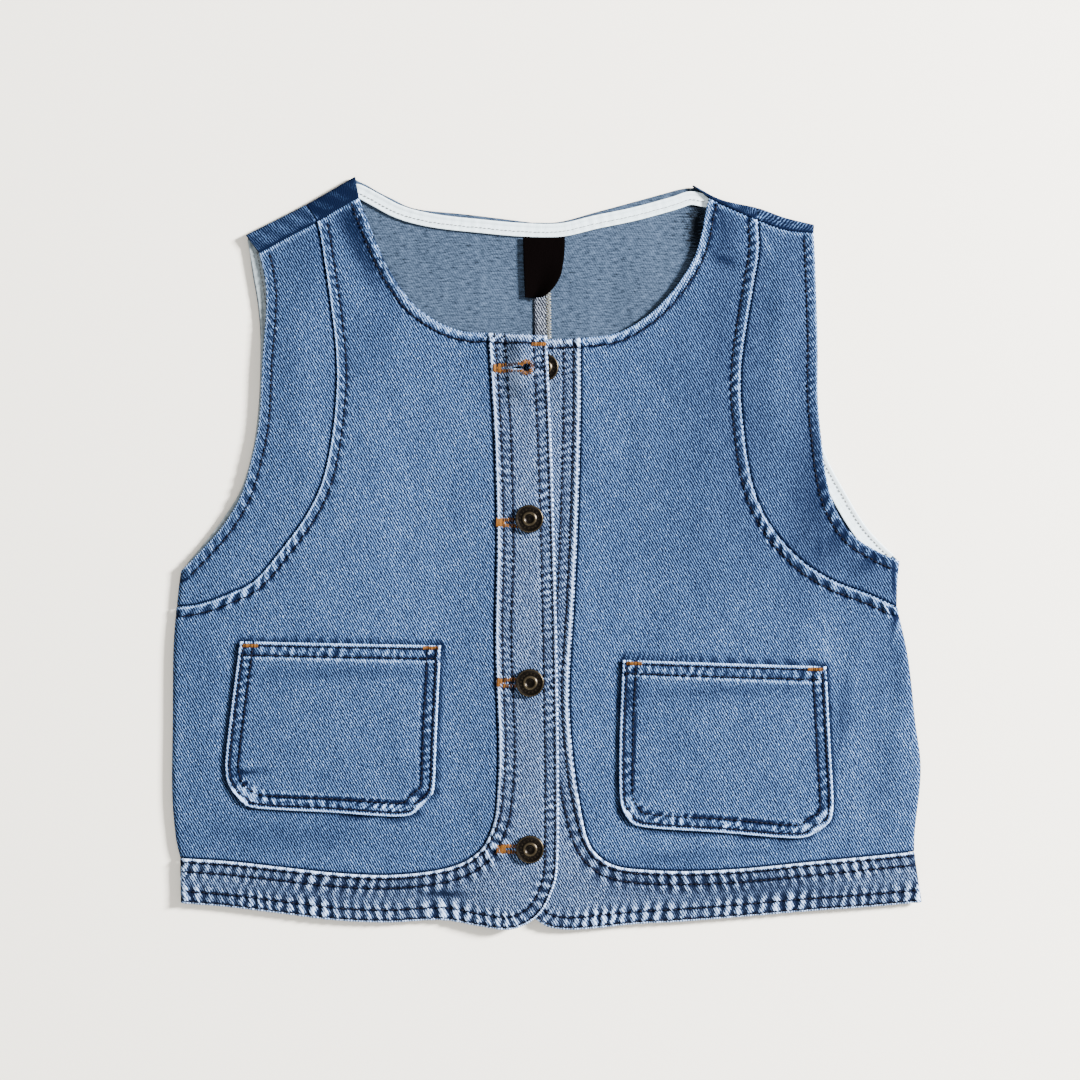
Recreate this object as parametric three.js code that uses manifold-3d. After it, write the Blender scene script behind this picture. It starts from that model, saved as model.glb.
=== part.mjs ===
// A cropped, sleeveless denim vest laid flat on a table with its front up.
// Millimetres: X to the right, Y towards the neck, Z up from the table at z = 0.
// Left and right are as seen from above. Each piece that a maker would cut is one mesh.
import * as THREE from "three";
import { mergeVertices } from "three/addons/utils/BufferGeometryUtils.js";
import Module from "manifold-3d";

// Cloth thicknesses, and the gap between neighbouring pieces
const DENIM = 1.2;
const FRONT_BAND = 2.0;
const BACK_BAND = 2.0;
const TAPE = 1.0;
const GAP = 0.3;

// Height of the front's mid-surface over the table, away from its swells
const FRONT_LEVEL = 3.5;

// The left front band lies over the right one, and rises into that from its body
const OVERLAP_RISE = FRONT_BAND + GAP;
const RISE_FROM_X = -62;
const RISE_TO_X = -24;

// The back comes over the shoulder and down to the front's shoulder seam
const BACK_MID = DENIM / 2;
const FOLD_RADIUS = (FRONT_LEVEL - BACK_MID) / 2;
const FOLD_STEPS = 4;
const STRIP_STEPS = 2;

// Back panels stop inside the fronts, which roll down to the table at the sides
const BACK_SIDE_INSET = 2.2;
const BACK_BAND_SIDE_INSET = 3.6;
const ROLL_STEPS = 3;

// Seam allowance pressed to the right of the centre-back seam
const ALLOWANCE_WIDTH = 10.6;
const ALLOWANCE_RAISE = 0.9;
const ALLOWANCE_TOP_Y = 194;

// White bias tapes inside the back neck and the back armholes
const NECK_TAPE_WIDTH = 8.8;
const ARMHOLE_TAPE_WIDTH = 9.2;
const TAPE_EDGE_INSET = 0.6;
// An armhole's tape runs over this share of its edge, from just above the side
const TAPE_FROM_SHARE = 0.03;
const TAPE_TO_SHARE = 0.985;

// The label's right lower corner curls up, from this share of its width on
const LABEL_CURL = 2.5;
const LABEL_CURL_FROM = 0.4;

// Metal buttons, and the keyhole buttonholes of the left band
const BUTTON_RADIUS = 8.75;
const SHANK_RADIUS = 2.0;
const SHANK_LENGTH = OVERLAP_RISE;
const HEAD_HEIGHT = 2.2;
const BUTTON_SIDES = 24;
const BUTTON_TOP = SHANK_LENGTH + HEAD_HEIGHT;
// Columns: radius, height over the shank's foot. Shank, head's underside, rim, dish, raised
// ring, hollow.
const BUTTON_PROFILE = [
  [0, 0], [SHANK_RADIUS, 0], [SHANK_RADIUS, SHANK_LENGTH], [BUTTON_RADIUS - 1, SHANK_LENGTH],
  [BUTTON_RADIUS, SHANK_LENGTH + 0.8], [BUTTON_RADIUS - 0.5, BUTTON_TOP - 0.2],
  [BUTTON_RADIUS - 1.4, BUTTON_TOP - 0.3], [4.4, BUTTON_TOP - 0.7], [3.8, BUTTON_TOP],
  [3.0, BUTTON_TOP], [2.2, BUTTON_TOP - 0.8], [0, BUTTON_TOP - 0.9],
];
const EYE_RADIUS = SHANK_RADIUS + 0.6;
const SLIT_LENGTH = 17;
const SLIT_WIDTH = 1.2;
const EYE_STEPS = 14;
const CUT_DEPTH = 20;

// The top button is undone and lies under the left band, which bulges over it
const BULGE_HEIGHT = SHANK_LENGTH + HEAD_HEIGHT + 2 * GAP + 0.3;
const BULGE_FLAT = BUTTON_RADIUS + 2;
const BULGE_REACH = 26;
const BULGE_FROM_X = -28;
const BULGE_TO_X = -13;

// How many cells each panel has, as steps along its edges
const STEPS = { shoulderBody: 3, shoulderArmhole: 4, neck: 8, backNeck: 6, backSide: 4,
  backPrincess: 9, band: 6, backBand: 2, neckTape: 20, armholeTape: 12, label: 4,
  pocketAcross: 8, pocketDown: 7 };

// Points nearer than this are one point
const SAME_POINT = 1e-4;

// Edges as seen from above, a row a point with columns x, y.
// Side edges run up from the hem, the others from the armhole or the side towards the neck.
const LEFT = {
  armholePanelSide: [[-229.5, -33.5], [-228.2, -22], [-226.5, -11]],
  bodySide: [[-227.5, -189], [-230.5, -174.5], [-232.5, -147], [-232, -103.5], [-231.5, -60],
    [-229.5, -33.5]],
  frontArmhole: [[-226.5, -11], [-216.5, -1], [-200.5, 17], [-189, 36.5], [-183, 57], [-178, 82],
    [-176, 118], [-173.5, 153.5], [-174.5, 170.5], [-178, 186]],
  backArmhole: [[-226.5, -9.5], [-214, 5], [-200.5, 22.5], [-189.5, 41], [-182, 67], [-178.5, 95],
    [-177.5, 130.5], [-179, 153.5], [-182.5, 174.5], [-186.5, 197.5]],
  princess: [[-229.5, -33.5], [-213.5, -31], [-197, -25], [-180.5, -16.5], [-163, 4], [-148, 25],
    [-137.5, 49], [-131, 87], [-130.5, 127.5], [-138.5, 187], [-142, 205.5]],
  shoulderFold: [[-186.5, 197.5], [-167.5, 207], [-149, 216.5], [-134, 225], [-118.5, 234]],
  shoulderSeam: [[-178, 186], [-160, 196], [-142, 205.5], [-129, 213.5], [-116, 220.5]],
  frontNeck: [[-116, 220.5], [-111.5, 208.5], [-99, 179], [-83.5, 156], [-67, 143.5], [-51, 137.5],
    [-36, 136.5]],
  backNeck: [[-118.5, 234], [-107.5, 226.5], [-96, 220.5], [-80.5, 214], [-48.5, 210.5], [-8.3, 205.5]],
};
const RIGHT = {
  armholePanelSide: [[218, -33.5], [218.3, -20], [219.5, -5]],
  bodySide: [[229, -185], [229.5, -171.5], [233, -134.5], [229.5, -104.5], [225, -65.5], [218, -33.5]],
  frontArmhole: [[219.5, -5], [206, 1], [189.5, 12], [178.5, 30], [173.5, 49], [171, 69], [168.5, 98],
    [168.5, 130.5], [167, 178.5], [166, 198.5]],
  backArmhole: [[219.5, -3.5], [207, 8], [197, 20], [186, 38.5], [176, 57], [171, 73.5], [169, 98],
    [169, 130.5], [167.5, 178.5], [166.5, 204]],
  princess: [[218, -33.5], [199.5, -25], [178.5, -17], [158, -4], [139.5, 17], [128.5, 41], [122.5, 77],
    [121, 114.5], [128, 162.5], [132, 187], [131.5, 206.5]],
  shoulderFold: [[166.5, 204], [148, 208.5], [131, 214.5], [108, 219.5], [90.5, 228.5]],
  shoulderSeam: [[166, 198.5], [148, 200.5], [131.5, 206.5], [116, 213], [101, 220]],
  frontNeck: [[101, 220], [99, 212], [96, 196.5], [90.5, 181], [78.5, 163], [63, 147.5], [43.5, 136.5],
    [21.5, 133.5]],
  backNeck: [[90.5, 228.5], [78.5, 225], [55, 218.5], [31, 212], [8.5, 206], [-8.3, 205.5]],
};

// Front bands, a row a section from the side seam round the corner and up to the neck.
// Columns: x and y of the seam to the body, x and y of the free edge, steps to the next row.
const LEFT_BAND = [
  [-227.5, -189, -227, -217, 1], [-196.5, -191, -196.5, -219.5, 1], [-164.5, -194.5, -164.5, -223.5, 1],
  [-132, -198, -132, -227.5, 1], [-99.5, -199.5, -99.5, -229, 1], [-70.5, -197, -65.5, -227.5, 1],
  [-52.5, -192, -42, -231, 1], [-41, -184, -21.5, -233, 1], [-35.5, -175.5, -5.5, -225, 1],
  [-31.5, -163, 3.5, -210.5, 1], [-30, -147, 7.5, -191.5, 1], [-29.5, -117.5, 8, -137.5, 3],
  [-31.5, -54, 7, -60, 3], [-30.5, 7.5, 5.5, 4.5, 3], [-32, 70, 3.5, 69, 7], [-36, 136.5, 0.5, 134.5, 0],
];
const RIGHT_BAND = [
  [229, -185, 233.5, -216.5, 1], [194.5, -188.5, 198.5, -219.5, 1], [162.5, -191.5, 162.5, -222, 1],
  [121.5, -195.5, 121.5, -225.5, 1], [89.5, -197, 83, -228.5, 1], [65, -196.5, 55, -230, 1],
  [44, -194, 31.5, -232.5, 1], [32, -187, 13, -233.5, 1], [25.5, -176.5, -1.5, -230.5, 1],
  [21, -156, -12, -219, 1], [17.5, -133, -18, -194, 1], [15, -106.5, -21.5, -147, 2],
  [14.5, -78.5, -23, -85, 2], [17.5, -29, -20, -29, 2], [20, 27, -17.5, 27, 3], [21.5, 89, -16, 89, 2],
  [21.5, 133.5, -15.5, 132, 0],
];

// Back hem band, a row a section from left to right. Columns: x, y of its seam, y of the hem.
// The centre-back seam meets it at the middle row.
const BACK_HEM = [
  [-227.5, -189, -214.5], [-145, -197, -223.5], [-75, -199.5, -225.5], [-4, -199.5, -226],
  [75, -197.5, -225.5], [150, -193, -219.5], [229, -185, -213.5],
];

// Patch pockets. Columns: x, y, up the two sides and along the foot, which meet mid corner.
const LEFT_POCKET = {
  outer: [[-187, -154], [-194.5, -147], [-198.5, -135.5], [-197, -112.5], [-189.5, -54.5]],
  inner: [[-78.5, -156.5], [-71.5, -150.5], [-69, -143.5], [-67.5, -109.5], [-65, -57]],
  foot: [[-187, -154], [-179, -158], [-134, -160.5], [-88.5, -163], [-78.5, -156.5]],
};
const RIGHT_POCKET = {
  inner: [[51, -162.5], [46, -153], [45.5, -117.5], [47.5, -66]],
  outer: [[167.5, -171], [177.5, -161.5], [176, -117.5], [173.5, -70]],
  foot: [[51, -162.5], [59.5, -169.5], [108, -173], [156, -176.5], [167.5, -171]],
};

// Neck tape's centre line, columns x, y, and the label's sections, columns y, left x, right x
const NECK_TAPE = [[-116, 226], [-105, 219.5], [-93, 213], [-80.5, 209], [-64.5, 206.2], [-42, 203.9],
  [-16.7, 201.8], [8.5, 201.3], [31, 206.2], [55, 211], [78.5, 217.8], [92, 224]];
const LABEL = [[196.2, -14.3, 11.8], [188, -14.2, 11.6], [180, -14, 10.8], [171, -13.6, 8.7],
  [163, -13.2, 3.6], [158.5, -13, -2]];

// Button centres, columns x, y. The first is the undone one; its hole is in the left band.
const BUTTONS = [[-0.9, 114.9], [-10.3, 21.3], [-9.9, -80.1], [-9.9, -183]];
const TOP_HOLE = [-12.2, 114.6];

// Swells and troughs of the front, a row each.
// Columns: x, y, reach across, reach along, turn in degrees, height (troughs are negative).
const SWELLS = [
  [-118, -60, 62, 95, 0, 1.5],
  [-110, 60, 42, 60, -8, 1.0],
  [-152, 100, 11, 62, 0, 0.9],
  [-212, -100, 10, 55, 2, 0.5],
  [-150, -176, 9, 62, 86, -0.7],
  [-86, 20, 12, 60, -6, -0.6],
  [-55, 60, 12, 55, 4, 0.5],
  [-196, -42, 9, 34, 70, -0.5],
  [122, -60, 60, 95, 0, 1.5],
  [95, 60, 36, 60, 8, 1.0],
  [147, 135, 9, 52, 0, 1.0],
  [137, 150, 5, 36, -3, -0.4],
  [196, -8, 9, 24, 60, 0.5],
  [205, -105, 11, 55, -8, -0.6],
  [219, -140, 8, 26, 4, 0.6],
  [110, 176, 5, 15, 66, -0.5],
  [60, -20, 10, 70, 5, -0.4],
  [110, -182, 8, 55, 94, -0.5],
];

const vec = (x, y, z = 0) => new THREE.Vector3(x, y, z);
const smooth = (x, from, to) => THREE.MathUtils.smoothstep(x, from, to);
const curve = (rows) => new THREE.CatmullRomCurve3(rows.map(([x, y]) => vec(x, y)), false, "catmullrom");
const evenly = (n) => Array.from({ length: n + 1 }, (_, i) => i / n);

// Points of a curve at shares of its length, or at shares of its row count.
const along = (rows, shares) => shares.map((s) => curve(rows).getPointAt(s));
const between = (rows, from, to, n) => evenly(n).map((s) => curve(rows).getPoint(from + (to - from) * s));

// Mid-surface height of the fronts: a level, plus each swell's bell.
function frontHeight(x, y) {
  let z = FRONT_LEVEL;
  for (const [cx, cy, across, reach, turn, height] of SWELLS) {
    const a = THREE.MathUtils.degToRad(turn);
    const p = ((x - cx) * Math.cos(a) + (y - cy) * Math.sin(a)) / across;
    const q = ((y - cy) * Math.cos(a) - (x - cx) * Math.sin(a)) / reach;
    z += height * Math.exp(-p * p - q * q);
  }
  return z;
}

// The left front: the same, lifted onto the right band and bulging over the undone button.
function leftHeight(x, y) {
  const away = Math.abs(y - BUTTONS[0][1]);
  const bulge = BULGE_HEIGHT * smooth(x, BULGE_FROM_X, BULGE_TO_X)
    * (1 - smooth(away, BULGE_FLAT, BULGE_REACH));
  return frontHeight(x, y) + OVERLAP_RISE * smooth(x, RISE_FROM_X, RISE_TO_X) + bulge;
}

// A patch between four edges: the two sides blend across, the foot and head blend up,
// and the corners counted twice come off. Returned as columns of points.
function patch(foot, head, start, end, shares = evenly(start.length - 1)) {
  const across = foot.length - 1;
  const up = start.length - 1;
  return foot.map((low, i) => start.map((first, j) => {
    const u = i / across;
    const v = shares[j];
    return vec(0, 0)
      .addScaledVector(first, 1 - u).addScaledVector(end[j], u)
      .addScaledVector(low, 1 - v).addScaledVector(head[i], v)
      .addScaledVector(start[0], (u - 1) * (1 - v)).addScaledVector(end[0], -u * (1 - v))
      .addScaledVector(start[up], (u - 1) * v).addScaledVector(end[up], -u * v);
  }));
}

// Moves the four edges of a grid inwards, each by a size or by a function of the step along it.
function inset(grid, { start = 0, end = 0, foot = 0, head = 0 }) {
  const columns = grid.length - 1;
  const rows = grid[0].length - 1;
  const made = grid.map((column) => column.map((p) => p.clone()));
  const pull = (edge, inner, size, put) => edge.forEach((p, k) => {
    const tangent = edge[Math.min(k + 1, edge.length - 1)].clone().sub(edge[Math.max(k - 1, 0)]).normalize();
    const inward = inner[k].clone().sub(p);
    inward.addScaledVector(tangent, -inward.dot(tangent)).normalize();
    put(k).addScaledVector(inward, typeof size === "function" ? size(k) : size);
  });
  pull(grid[0], grid[1], start, (k) => made[0][k]);
  pull(grid[columns], grid[columns - 1], end, (k) => made[columns][k]);
  pull(grid.map((c) => c[0]), grid.map((c) => c[1]), foot, (k) => made[k][0]);
  pull(grid.map((c) => c[rows]), grid.map((c) => c[rows - 1]), head, (k) => made[k][rows]);
  return made;
}

// Raises a flat grid to a height, with its foot rolled down to the table as a quarter round.
function laid(grid, height) {
  const rolls = evenly(ROLL_STEPS).map((s) => 1 - Math.cos((s * Math.PI) / 2));
  return grid.map(([foot, next, ...rest]) => {
    const inward = next.clone().sub(foot).normalize();
    const rolled = rolls.map((share) => {
      const p = foot.clone().addScaledVector(inward, share * FRONT_LEVEL);
      return p.setZ(height(p.x, p.y) * Math.sqrt(1 - (1 - share) ** 2));
    });
    return [...rolled, ...[next, ...rest].map((p) => p.clone().setZ(height(p.x, p.y)))];
  });
}

const raised = (grid, height) => grid.map((column) => column.map((p) => p.clone().setZ(height(p.x, p.y))));

// A closed wall round a grid of mid-surface points: each point goes out along the surface's
// normal by `over` and back by `under`, and the open edges are closed. Cells that `keep`
// refuses are left out. Nothing goes below the table.
function wall(grid, over, under = over, keep = () => true) {
  const rows = grid[0].length;
  const flat = grid.flat();
  const normals = flat.map(() => vec(0, 0));
  const cells = [];
  for (let i = 0; i + 1 < grid.length; i++)
    for (let j = 0; j + 1 < rows; j++)
      if (keep(i, j)) cells.push([i * rows + j, (i + 1) * rows + j, (i + 1) * rows + j + 1, i * rows + j + 1]);
  const facing = (c) => flat[c[2]].clone().sub(flat[c[0]]).cross(flat[c[3]].clone().sub(flat[c[1]]));
  if (facing(cells[0]).z < 0) cells.forEach((c) => c.reverse());
  for (const c of cells) for (const k of c) normals[k].add(facing(c));
  normals.forEach((n) => n.normalize());
  const out = (k, size) => {
    const p = flat[k].clone().addScaledVector(normals[k], size);
    return [p.x, p.y, Math.max(p.z, 0)];
  };
  const size = (value, k) => (typeof value === "function" ? value(flat[k]) : value);
  const points = flat.map((_, k) => out(k, size(over, k))).concat(flat.map((_, k) => out(k, -size(under, k))));
  const index = [];
  const quad = (a, b, c, d) => index.push(a, b, c, a, c, d);
  const edges = new Map();
  for (const c of cells) {
    quad(...c);
    quad(...c.map((k) => k + flat.length).reverse());
    c.forEach((a, k) => {
      const b = c[(k + 1) % 4];
      if (!edges.delete(b + "_" + a)) edges.set(a + "_" + b, [a, b]);
    });
  }
  for (const [a, b] of edges.values()) quad(b, a, a + flat.length, b + flat.length);
  const geometry = new THREE.BufferGeometry();
  geometry.setAttribute("position", new THREE.Float32BufferAttribute(points.flat(), 3));
  geometry.setIndex(index);
  return mergeVertices(geometry, SAME_POINT);
}

// Shares along a band's rows, by each row's steps, and the seam's length shares at them.
function bandShares(table) {
  const shares = table.flatMap((row, k) =>
    evenly(row[4] || 1).slice(0, -1).map((s) => Math.min((k + s) / (table.length - 1), 1)));
  const seam = shares.map((s) => curve(table.map(([x, y]) => [x, y])).getPoint(s));
  const lengths = seam.map((p, k) => (k ? p.distanceTo(seam[k - 1]) : 0));
  const total = lengths.reduce((a, b) => a + b);
  let sum = 0;
  return { shares, seam, lengthShares: lengths.map((d) => Math.min((sum += d) / total, 1)) };
}

// Front body and front armhole panel of a side. Columns run from the princess seam to the
// band, or from the armhole to the princess seam; rows run from the side up to the shoulder.
function frontPanels(side, band, height) {
  const { seam, lengthShares } = bandShares(band);
  const princess = along(side.princess, lengthShares);
  const shoulder = between(side.shoulderSeam, 0.5, 1, STEPS.shoulderBody);
  const head = [...shoulder, ...along(side.frontNeck, evenly(STEPS.neck)).slice(1)];
  const foot = along(side.bodySide, evenly(head.length - 1)).reverse();
  const body = inset(patch(foot, head, princess, seam, lengthShares), {
    start: GAP / 2, end: GAP / 2, foot: DENIM / 2, head: (k) => (k <= STEPS.shoulderBody ? GAP / 2 : 0) });
  const top = between(side.shoulderSeam, 0, 0.5, STEPS.shoulderArmhole);
  const low = along(side.armholePanelSide, evenly(STEPS.shoulderArmhole)).reverse();
  const armhole = inset(patch(low, top, along(side.frontArmhole, lengthShares), princess, lengthShares), {
    end: GAP / 2, foot: DENIM / 2, head: GAP / 2 });
  return { body: wall(laid(body, height), DENIM / 2), armhole: wall(laid(armhole, height), DENIM / 2) };
}

function frontBand(table, height) {
  const { shares, seam } = bandShares(table);
  const edge = curve(table.map((row) => [row[2], row[3]]));
  const free = shares.map((s) => edge.getPoint(s));
  const grid = evenly(STEPS.band).map((s) => seam.map((p, k) => p.clone().lerp(free[k], s)));
  return wall(laid(inset(grid, { start: GAP / 2, foot: FRONT_BAND / 2 }), height), FRONT_BAND / 2);
}

// The rows that carry a back panel over its shoulder: a half round, then the strip to the seam.
function overShoulder(column, fold, seam) {
  const outward = fold.clone().sub(seam).normalize();
  const centre = fold.clone().addScaledVector(outward, -FOLD_RADIUS - DENIM / 2);
  const round = evenly(FOLD_STEPS).map((s) => centre.clone()
    .addScaledVector(outward, FOLD_RADIUS * Math.sin(s * Math.PI))
    .setZ(BACK_MID + FOLD_RADIUS * (1 - Math.cos(s * Math.PI))));
  const top = round[FOLD_STEPS];
  const strip = evenly(STRIP_STEPS).slice(1).map((s) => top.clone().lerp(seam.clone().setZ(top.z), s));
  return [...column.slice(0, -1), ...round, ...strip];
}

// Back body and back armhole panel of a side, flat on the table and over the shoulder.
// The body's wall goes out by `over` above its middle, which thickens it for the allowance.
function backPanels(side, hemFrom, hemTo, over) {
  const fold = between(side.shoulderFold, 0.5, 1, STEPS.shoulderBody);
  const seam = between(side.shoulderSeam, 0.5, 1, STEPS.shoulderBody);
  const neck = along(side.backNeck, evenly(STEPS.backNeck)).slice(1);
  const head = [...fold, ...neck];
  const foot = between(BACK_HEM, hemFrom, hemTo, head.length - 1);
  const seamRows = [...side.princess.slice(0, -1), side.shoulderFold[2]];
  const princess = along(seamRows, evenly(STEPS.backPrincess));
  const start = [...along(side.bodySide, evenly(STEPS.backSide)).slice(0, -1), ...princess];
  const end = start.map((_, k) => foot.at(-1).clone().lerp(neck.at(-1), k / (start.length - 1)));
  const at = (p) => p.setZ(BACK_MID);
  const level = (grid) => grid.map((column) => column.map(at));
  const onSide = (k) => (k <= STEPS.backSide ? BACK_SIDE_INSET : GAP / 2);
  const body = level(patch(foot, head, start, end)).map((column, i) =>
    i <= STEPS.shoulderBody ? overShoulder(column, at(fold[i]), at(seam[i])) : column);
  const rows = body[0].length;
  const flatRows = start.length - 1;
  body.forEach((column) => {
    while (column.length < rows) column.push(column.at(-1).clone());
  });
  const kept = (i, j) => i < STEPS.shoulderBody || j < flatRows;
  const pulled = inset(body, { start: onSide, end: GAP / 2, foot: GAP / 2 });
  for (const column of pulled.slice(0, STEPS.shoulderBody + 1)) {
    const [inner, last] = column.slice(-2);
    last.lerp(inner, GAP / 2 / last.distanceTo(inner));
  }
  const low = along(side.armholePanelSide, evenly(STEPS.shoulderArmhole)).reverse();
  const top = between(side.shoulderFold, 0, 0.5, STEPS.shoulderArmhole);
  const topSeam = between(side.shoulderSeam, 0, 0.5, STEPS.shoulderArmhole);
  const armhole = level(patch(low, top, along(side.backArmhole, evenly(STEPS.backPrincess)), princess))
    .map((column, i) => overShoulder(column, at(top[i]), at(topSeam[i])));
  const pulledArmhole = inset(armhole, { end: GAP / 2, foot: BACK_SIDE_INSET, head: GAP / 2 });
  return { body: wall(pulled, over, DENIM / 2, kept), armhole: wall(pulledArmhole, DENIM / 2) };
}

// A flat strip of even width round a centre line.
function tapeGrid(line, width, steps) {
  const spine = curve(line);
  return evenly(steps).map((s) => {
    const t = spine.getTangentAt(s);
    const across = vec(-t.y, t.x).multiplyScalar(width / 2);
    const p = spine.getPointAt(s);
    return [p.clone().sub(across), p, p.clone().add(across)];
  });
}

// A tape lies on the back's inner face.
function tape(line, width, steps) {
  return wall(raised(tapeGrid(line, width, steps), () => DENIM + GAP + TAPE / 2), TAPE / 2);
}

// The tape of an armhole runs inside the back armhole's edge, up to the shoulder fold.
function armholeTape(side) {
  const edge = curve(side.backArmhole);
  const middle = (side.shoulderFold[2][0] + side.bodySide[0][0]) / 2;
  const towardsBody = Math.sign(-middle);
  const reach = TAPE_EDGE_INSET + ARMHOLE_TAPE_WIDTH / 2;
  const line = evenly(STEPS.armholeTape).map((s) => {
    const share = THREE.MathUtils.lerp(TAPE_FROM_SHARE, TAPE_TO_SHARE, s);
    const t = edge.getTangentAt(share);
    const p = edge.getPointAt(share);
    return [p.x + towardsBody * t.y * reach, p.y - towardsBody * t.x * reach];
  });
  return tape(line, ARMHOLE_TAPE_WIDTH, STEPS.armholeTape);
}

// The label hangs over the seam allowance, with its right lower corner curled up.
function labelWall() {
  const z = DENIM + ALLOWANCE_RAISE + GAP + TAPE / 2;
  const grid = evenly(STEPS.label).map((s) => LABEL.map(([y, from, to], j) => {
    const curl = LABEL_CURL * smooth(s, LABEL_CURL_FROM, 1) * smooth(j, 1, LABEL.length - 1);
    return vec(from + (to - from) * s, y, z + curl);
  }));
  return wall(grid, TAPE / 2);
}

function pocket({ inner, outer, foot }, height) {
  const left = inner[0][0] < outer[0][0] ? inner : outer;
  const right = left === inner ? outer : inner;
  const head = [left.at(-1), right.at(-1)];
  const shares = evenly(STEPS.pocketDown);
  const grid = patch(along(foot, evenly(STEPS.pocketAcross)), along(head, evenly(STEPS.pocketAcross)),
    along(left, shares), along(right, shares));
  return wall(raised(grid, (x, y) => height(x, y) + DENIM + GAP), DENIM / 2);
}

// Button turned round Z from its profile.
function buttonGeometry() {
  const profile = BUTTON_PROFILE.map(([radius, height]) => new THREE.Vector2(radius, height));
  return new THREE.LatheGeometry(profile, BUTTON_SIDES).rotateX(Math.PI / 2);
}

// A keyhole through the whole band: a round eye, with a slit to its left.
function keyhole([x, y]) {
  const half = SLIT_WIDTH / 2;
  const turn = Math.asin(half / EYE_RADIUS);
  const shape = new THREE.Shape();
  shape.moveTo(-SLIT_LENGTH, half);
  shape.lineTo(-SLIT_LENGTH, -half);
  shape.absarc(0, 0, EYE_RADIUS, Math.PI + turn, 3 * Math.PI - turn, false);
  shape.closePath();
  const cut = { depth: CUT_DEPTH, bevelEnabled: false, curveSegments: EYE_STEPS };
  return new THREE.ExtrudeGeometry(shape, cut).translate(x, y, 0);
}

const wasm = await Module();
wasm.setup();

function solidOf(geometry) {
  const bare = geometry.clone();
  bare.deleteAttribute("normal");
  bare.deleteAttribute("uv");
  const merged = mergeVertices(bare, SAME_POINT);
  const vertProperties = new Float32Array(merged.attributes.position.array);
  const triVerts = new Uint32Array(merged.index.array);
  return new wasm.Manifold(new wasm.Mesh({ numProp: 3, vertProperties, triVerts }));
}

function cutWith(geometry, tools) {
  const mesh = tools.reduce((solid, tool) => solid.subtract(solidOf(tool)), solidOf(geometry)).getMesh();
  const cut = new THREE.BufferGeometry();
  cut.setAttribute("position", new THREE.BufferAttribute(mesh.vertProperties, 3));
  cut.setIndex(new THREE.BufferAttribute(mesh.triVerts, 1));
  return cut;
}

const LOOKS = {
  denim: { color: 0x6984a7, roughness: 0.9, metalness: 0 },
  band: { color: 0x7a8ca8, roughness: 0.9, metalness: 0 },
  tape: { color: 0xe4e9eb, roughness: 0.85, metalness: 0 },
  label: { color: 0x0c0607, roughness: 0.7, metalness: 0 },
  button: { color: 0x3a322a, roughness: 0.4, metalness: 0.9 },
};

const vest = new THREE.Group();
vest.name = "denim_vest";
function add(name, geometry, look) {
  const mesh = new THREE.Mesh(geometry, new THREE.MeshStandardMaterial(LOOKS[look]));
  mesh.name = name;
  vest.add(mesh);
  return mesh;
}

// The right back body is thicker under its pressed seam allowance, beside the centre seam.
const centreSeamX = (y) => THREE.MathUtils.mapLinear(y, BACK_HEM[3][1], LEFT.backNeck.at(-1)[1],
  BACK_HEM[3][0], LEFT.backNeck.at(-1)[0]);
const allowance = (p) => DENIM / 2
  + (p.x < centreSeamX(p.y) + ALLOWANCE_WIDTH && p.y < ALLOWANCE_TOP_Y ? ALLOWANCE_RAISE : 0);

const leftBack = backPanels(LEFT, 0, 0.5, DENIM / 2);
const rightBack = backPanels(RIGHT, 1, 0.5, allowance);
add("back_body_left", leftBack.body, "denim");
add("back_body_right", rightBack.body, "denim");
add("back_armhole_panel_left", leftBack.armhole, "denim");
add("back_armhole_panel_right", rightBack.armhole, "denim");

const hemSteps = 2 * (STEPS.shoulderBody + STEPS.backNeck);
const hemTop = between(BACK_HEM, 0, 1, hemSteps);
const hemFoot = between(BACK_HEM.map(([x, , y]) => [x, y]), 0, 1, hemSteps);
const hemGrid = hemTop.map((p, i) => evenly(STEPS.backBand).map((s) => hemFoot[i].clone().lerp(p, s)));
const hemInset = { start: BACK_BAND_SIDE_INSET, end: BACK_BAND_SIDE_INSET, head: GAP / 2 };
add("back_hem_band", wall(raised(inset(hemGrid, hemInset), () => BACK_BAND / 2), BACK_BAND / 2), "band");

const leftFront = frontPanels(LEFT, LEFT_BAND, leftHeight);
const rightFront = frontPanels(RIGHT, RIGHT_BAND, frontHeight);
add("front_body_left", leftFront.body, "denim");
add("front_body_right", rightFront.body, "denim");
add("front_armhole_panel_left", leftFront.armhole, "denim");
add("front_armhole_panel_right", rightFront.armhole, "denim");

const holes = [TOP_HOLE, ...BUTTONS.slice(1)].map(keyhole);
add("front_band_left", cutWith(frontBand(LEFT_BAND, leftHeight), holes), "band");
add("front_band_right", frontBand(RIGHT_BAND, frontHeight), "band");

add("pocket_left", pocket(LEFT_POCKET, leftHeight), "denim");
add("pocket_right", pocket(RIGHT_POCKET, frontHeight), "denim");

// The seam allowance ends below the neck tape, which so lies flat.
add("neck_tape", tape(NECK_TAPE, NECK_TAPE_WIDTH, STEPS.neckTape), "tape");
add("armhole_tape_left", armholeTape(LEFT), "tape");
add("armhole_tape_right", armholeTape(RIGHT), "tape");
add("label", labelWall(), "label");

BUTTONS.forEach(([x, y], k) => {
  const foot = frontHeight(x, y) + FRONT_BAND / 2 + GAP;
  add("button_" + (k + 1), buttonGeometry(), "button").position.set(x, y, foot);
});

// The origin is the middle of the vest's foot: the table's level, half its width and its length.
const box = new THREE.Box3().setFromObject(vest, true);
vest.position.set(-(box.min.x + box.max.x) / 2, -(box.min.y + box.max.y) / 2, -box.min.z);

export default vest;
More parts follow.
